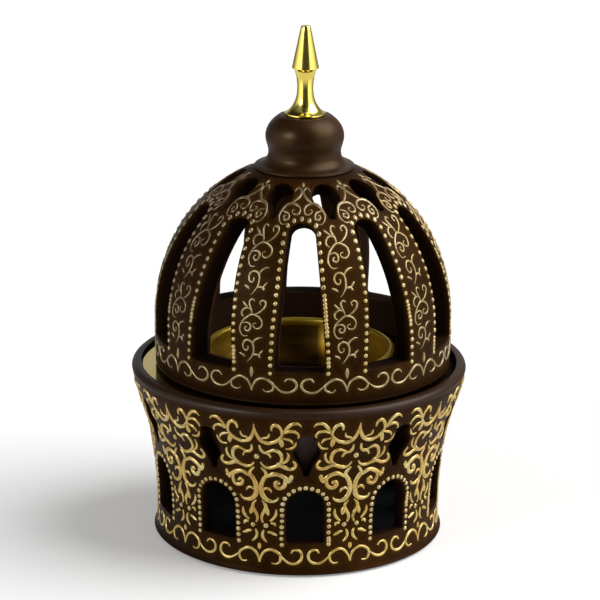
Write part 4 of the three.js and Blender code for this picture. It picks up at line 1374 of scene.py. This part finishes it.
def gold_paste(name, shades, low_shade=None, left_painted_shade=None):
    """Gold paste in amber, gold and cream, duller low down, with painted shade high on the left."""
    amber_shade, gold_shade, cream_shade = shades
    made = Finish(name, Metallic=0.3, Roughness=0.34, Specular_IOR_Level=0.9)
    worn = made.range(made.noise(800, 4, 0.6), 0.28, 0.44)
    amber = made.range(made.noise(230, 3), 0.36, 0.56)
    cream = made.range(made.noise(120, 4, 0.6), 0.5, 0.72)
    tone = made.mix(cream, made.mix(amber, amber_shade, gold_shade), cream_shade)
    across, _, up = made.parts(made.place)
    if low_shade:
        drifting = up + made.noise(60, 2) * LOW_DRIFT
        tone = made.mix(made.range(drifting, LOW_START, LOW_END), low_shade, tone)
    # Painted shade: darker on the left side and over the crown.
    if left_painted_shade:
        left = (made.range(across, SHADE_LEFT_FULL, SHADE_LEFT_START, 1, 0)
                * made.range(up, SHADE_LEFT_LOW, SHADE_LEFT_HIGH))
        crown = made.range(across - up * CROWN_SLANT, SHADE_CROWN_FULL, SHADE_CROWN_START, 1, 0)
        tone = made.mix(1 - (1 - left) * (1 - crown), tone, left_painted_shade)
    return made.finished(
        Base_Color=made.mix(worn, WORN_BROWN, tone),
        Normal=made.bump(made.noise(1500, 3), 0.25, 0.00006))


line_shades = shade(200, 156, 68), shade(211, 179, 86), shade(226, 207, 136)
dome_shades = shade(172, 137, 74), shade(186, 157, 97), shade(218, 198, 156)
bead_shades = shade(190, 158, 88), shade(206, 183, 118), shade(223, 206, 152)
stand_paste = gold_paste("stand_paste", line_shades)
# The last shade of the dome's paste and of its drops is their painted shade on the left.
dome_paste = gold_paste("dome_paste", dome_shades, shade(168, 146, 96), shade(116, 96, 62))
stand_drops = gold_paste("stand_drops", bead_shades)
dome_drops = gold_paste("dome_drops", bead_shades, None, shade(140, 122, 88))

# %% Give each piece its finish
for node, material in (("base_floor", board_material), ("base_felt", felt_material),
                       ("finial_stud", zinc_material), ("crown_washer", zinc_material),
                       ("crown_nut", zinc_material)):
    paint(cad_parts[node], material)
for piece, material in ((dome, resin_material), (stand, resin_material), (knob, knob_material),
                        (basin, inner_material), (finial, brass_material), (cup, sheet_material),
                        (tray, tray_material), (dome_scrolls, dome_paste), (dome_beads, dome_drops),
                        (stand_scrolls, stand_paste), (stand_beads, stand_drops)):
    paint(piece, material)

# %% [markdown]
# ## Floor, background and light
# The floor and the backdrop are white. The room behind the camera is dark, as a studio is,
# and what the metal mirrors from there gives it its dark stripes. A large soft lamp stands on
# the right, so the soft shadow falls to the left, and two weak ones stand on the left.


# %% World
# What a mirror sees of the room, from straight in front of the burner (0) to straight behind
# it (1). Far down it sees the lit floor, and high up on the left the room is dark again.
ROOM = ((0.0, 0.03), (0.08, 0.04), (0.12, 0.8), (0.18, 1.0), (0.3, 0.8), (0.6, 0.4), (0.8, 0.1),
        (0.92, 0.08), (0.98, 0.25), (1.0, 0.27))
ROOM_LIGHT, FLOOR_SHINE, DARK_CORNER = 2.1, 0.85, 0.88
AMBIENT = 0.22  # the dim light that falls on the burner from all round
world = bpy.data.worlds.new("studio")
bpy.context.scene.world = world
world.use_nodes = True
world.node_tree.nodes.clear()
room = Wiring(world.node_tree)
across, away, up = room.parts(room.node("ShaderNodeTexCoord", {}, {}, "Generated"))
behind = away / (1.0001 - up * up).root()
walls = room.node("ShaderNodeValToRGB", {"stops": ROOM}, {0: (behind + 1.0) * 0.5})
backdrop = room.ray("Camera").larger(room.ray("Transmission"))
mirror = room.ray("Glossy")
corner = room.range(up, 0.3, 0.55) * room.range(across, 0.1, -0.1)
walled = walls * ROOM_LIGHT * (1 - corner * DARK_CORNER)
over_floor = room.range(up, -0.44, -0.32)
around = walled * over_floor + FLOOR_SHINE * (1 - over_floor)
unseen = 1 - backdrop.larger(mirror)
strength = backdrop.larger(mirror * around) + unseen * AMBIENT
white = room.node("ShaderNodeBackground", {}, {"Color": (1, 1, 1, 1), "Strength": strength})
room.node("ShaderNodeOutputWorld", {}, {0: white})
print("the world has", len(room.tree.nodes), "nodes")

# %% [markdown]
# The floor is a white plane that is lit by the lamps, so it takes the shadow. To the camera
# and through glass it also glows a little, which lifts the lit part to full white.

# %% Floor
FLOOR_GLOW, FLOOR_SIZE = 0.245, 8
clear_selection()
bpy.ops.mesh.primitive_plane_add(size=FLOOR_SIZE)
floor = bpy.context.object
floor.name = "floor"
floor.visible_glossy = False  # mirrors see the room all round, also below
paper = Finish("white_floor", Base_Color=(0.8, 0.8, 0.8, 1), Roughness=0.9,
               Specular_IOR_Level=0.1, Emission_Strength=FLOOR_GLOW)
looked_at = paper.ray("Camera").larger(paper.ray("Glossy").larger(paper.ray("Transmission")))
paint(floor, paper.finished(Emission_Color=looked_at))


# %% Lamps
def soft_sun(name, azimuth, elevation, spread, strength):
    """A large far lamp at an angle from the front; spread is how wide it looks, in degrees."""
    lamp = bpy.data.lights.new(name, "SUN")
    lamp.energy, lamp.angle = strength, math.radians(spread)
    obj = bpy.data.objects.new(name, lamp)
    a, e = math.radians(azimuth), math.radians(elevation)
    towards = Vector((math.sin(a) * math.cos(e), -math.cos(a) * math.cos(e), math.sin(e)))
    aim = towards.to_track_quat("Z", "Y").to_matrix().to_4x4()
    obj.matrix_world = Matrix.Translation(towards * 2) @ aim
    bpy.context.scene.collection.objects.link(obj)
    return obj


soft_sun("lamp_right", azimuth=86, elevation=46, spread=52, strength=3.2)
soft_sun("lamp_left", azimuth=-54, elevation=26, spread=14, strength=0.35)
strip = soft_sun("lamp_left_strip", azimuth=-54, elevation=26, spread=20, strength=1.3)
strip.visible_diffuse = False  # it shows only as a soft highlight
bpy.context.scene.view_settings.view_transform = "Standard"
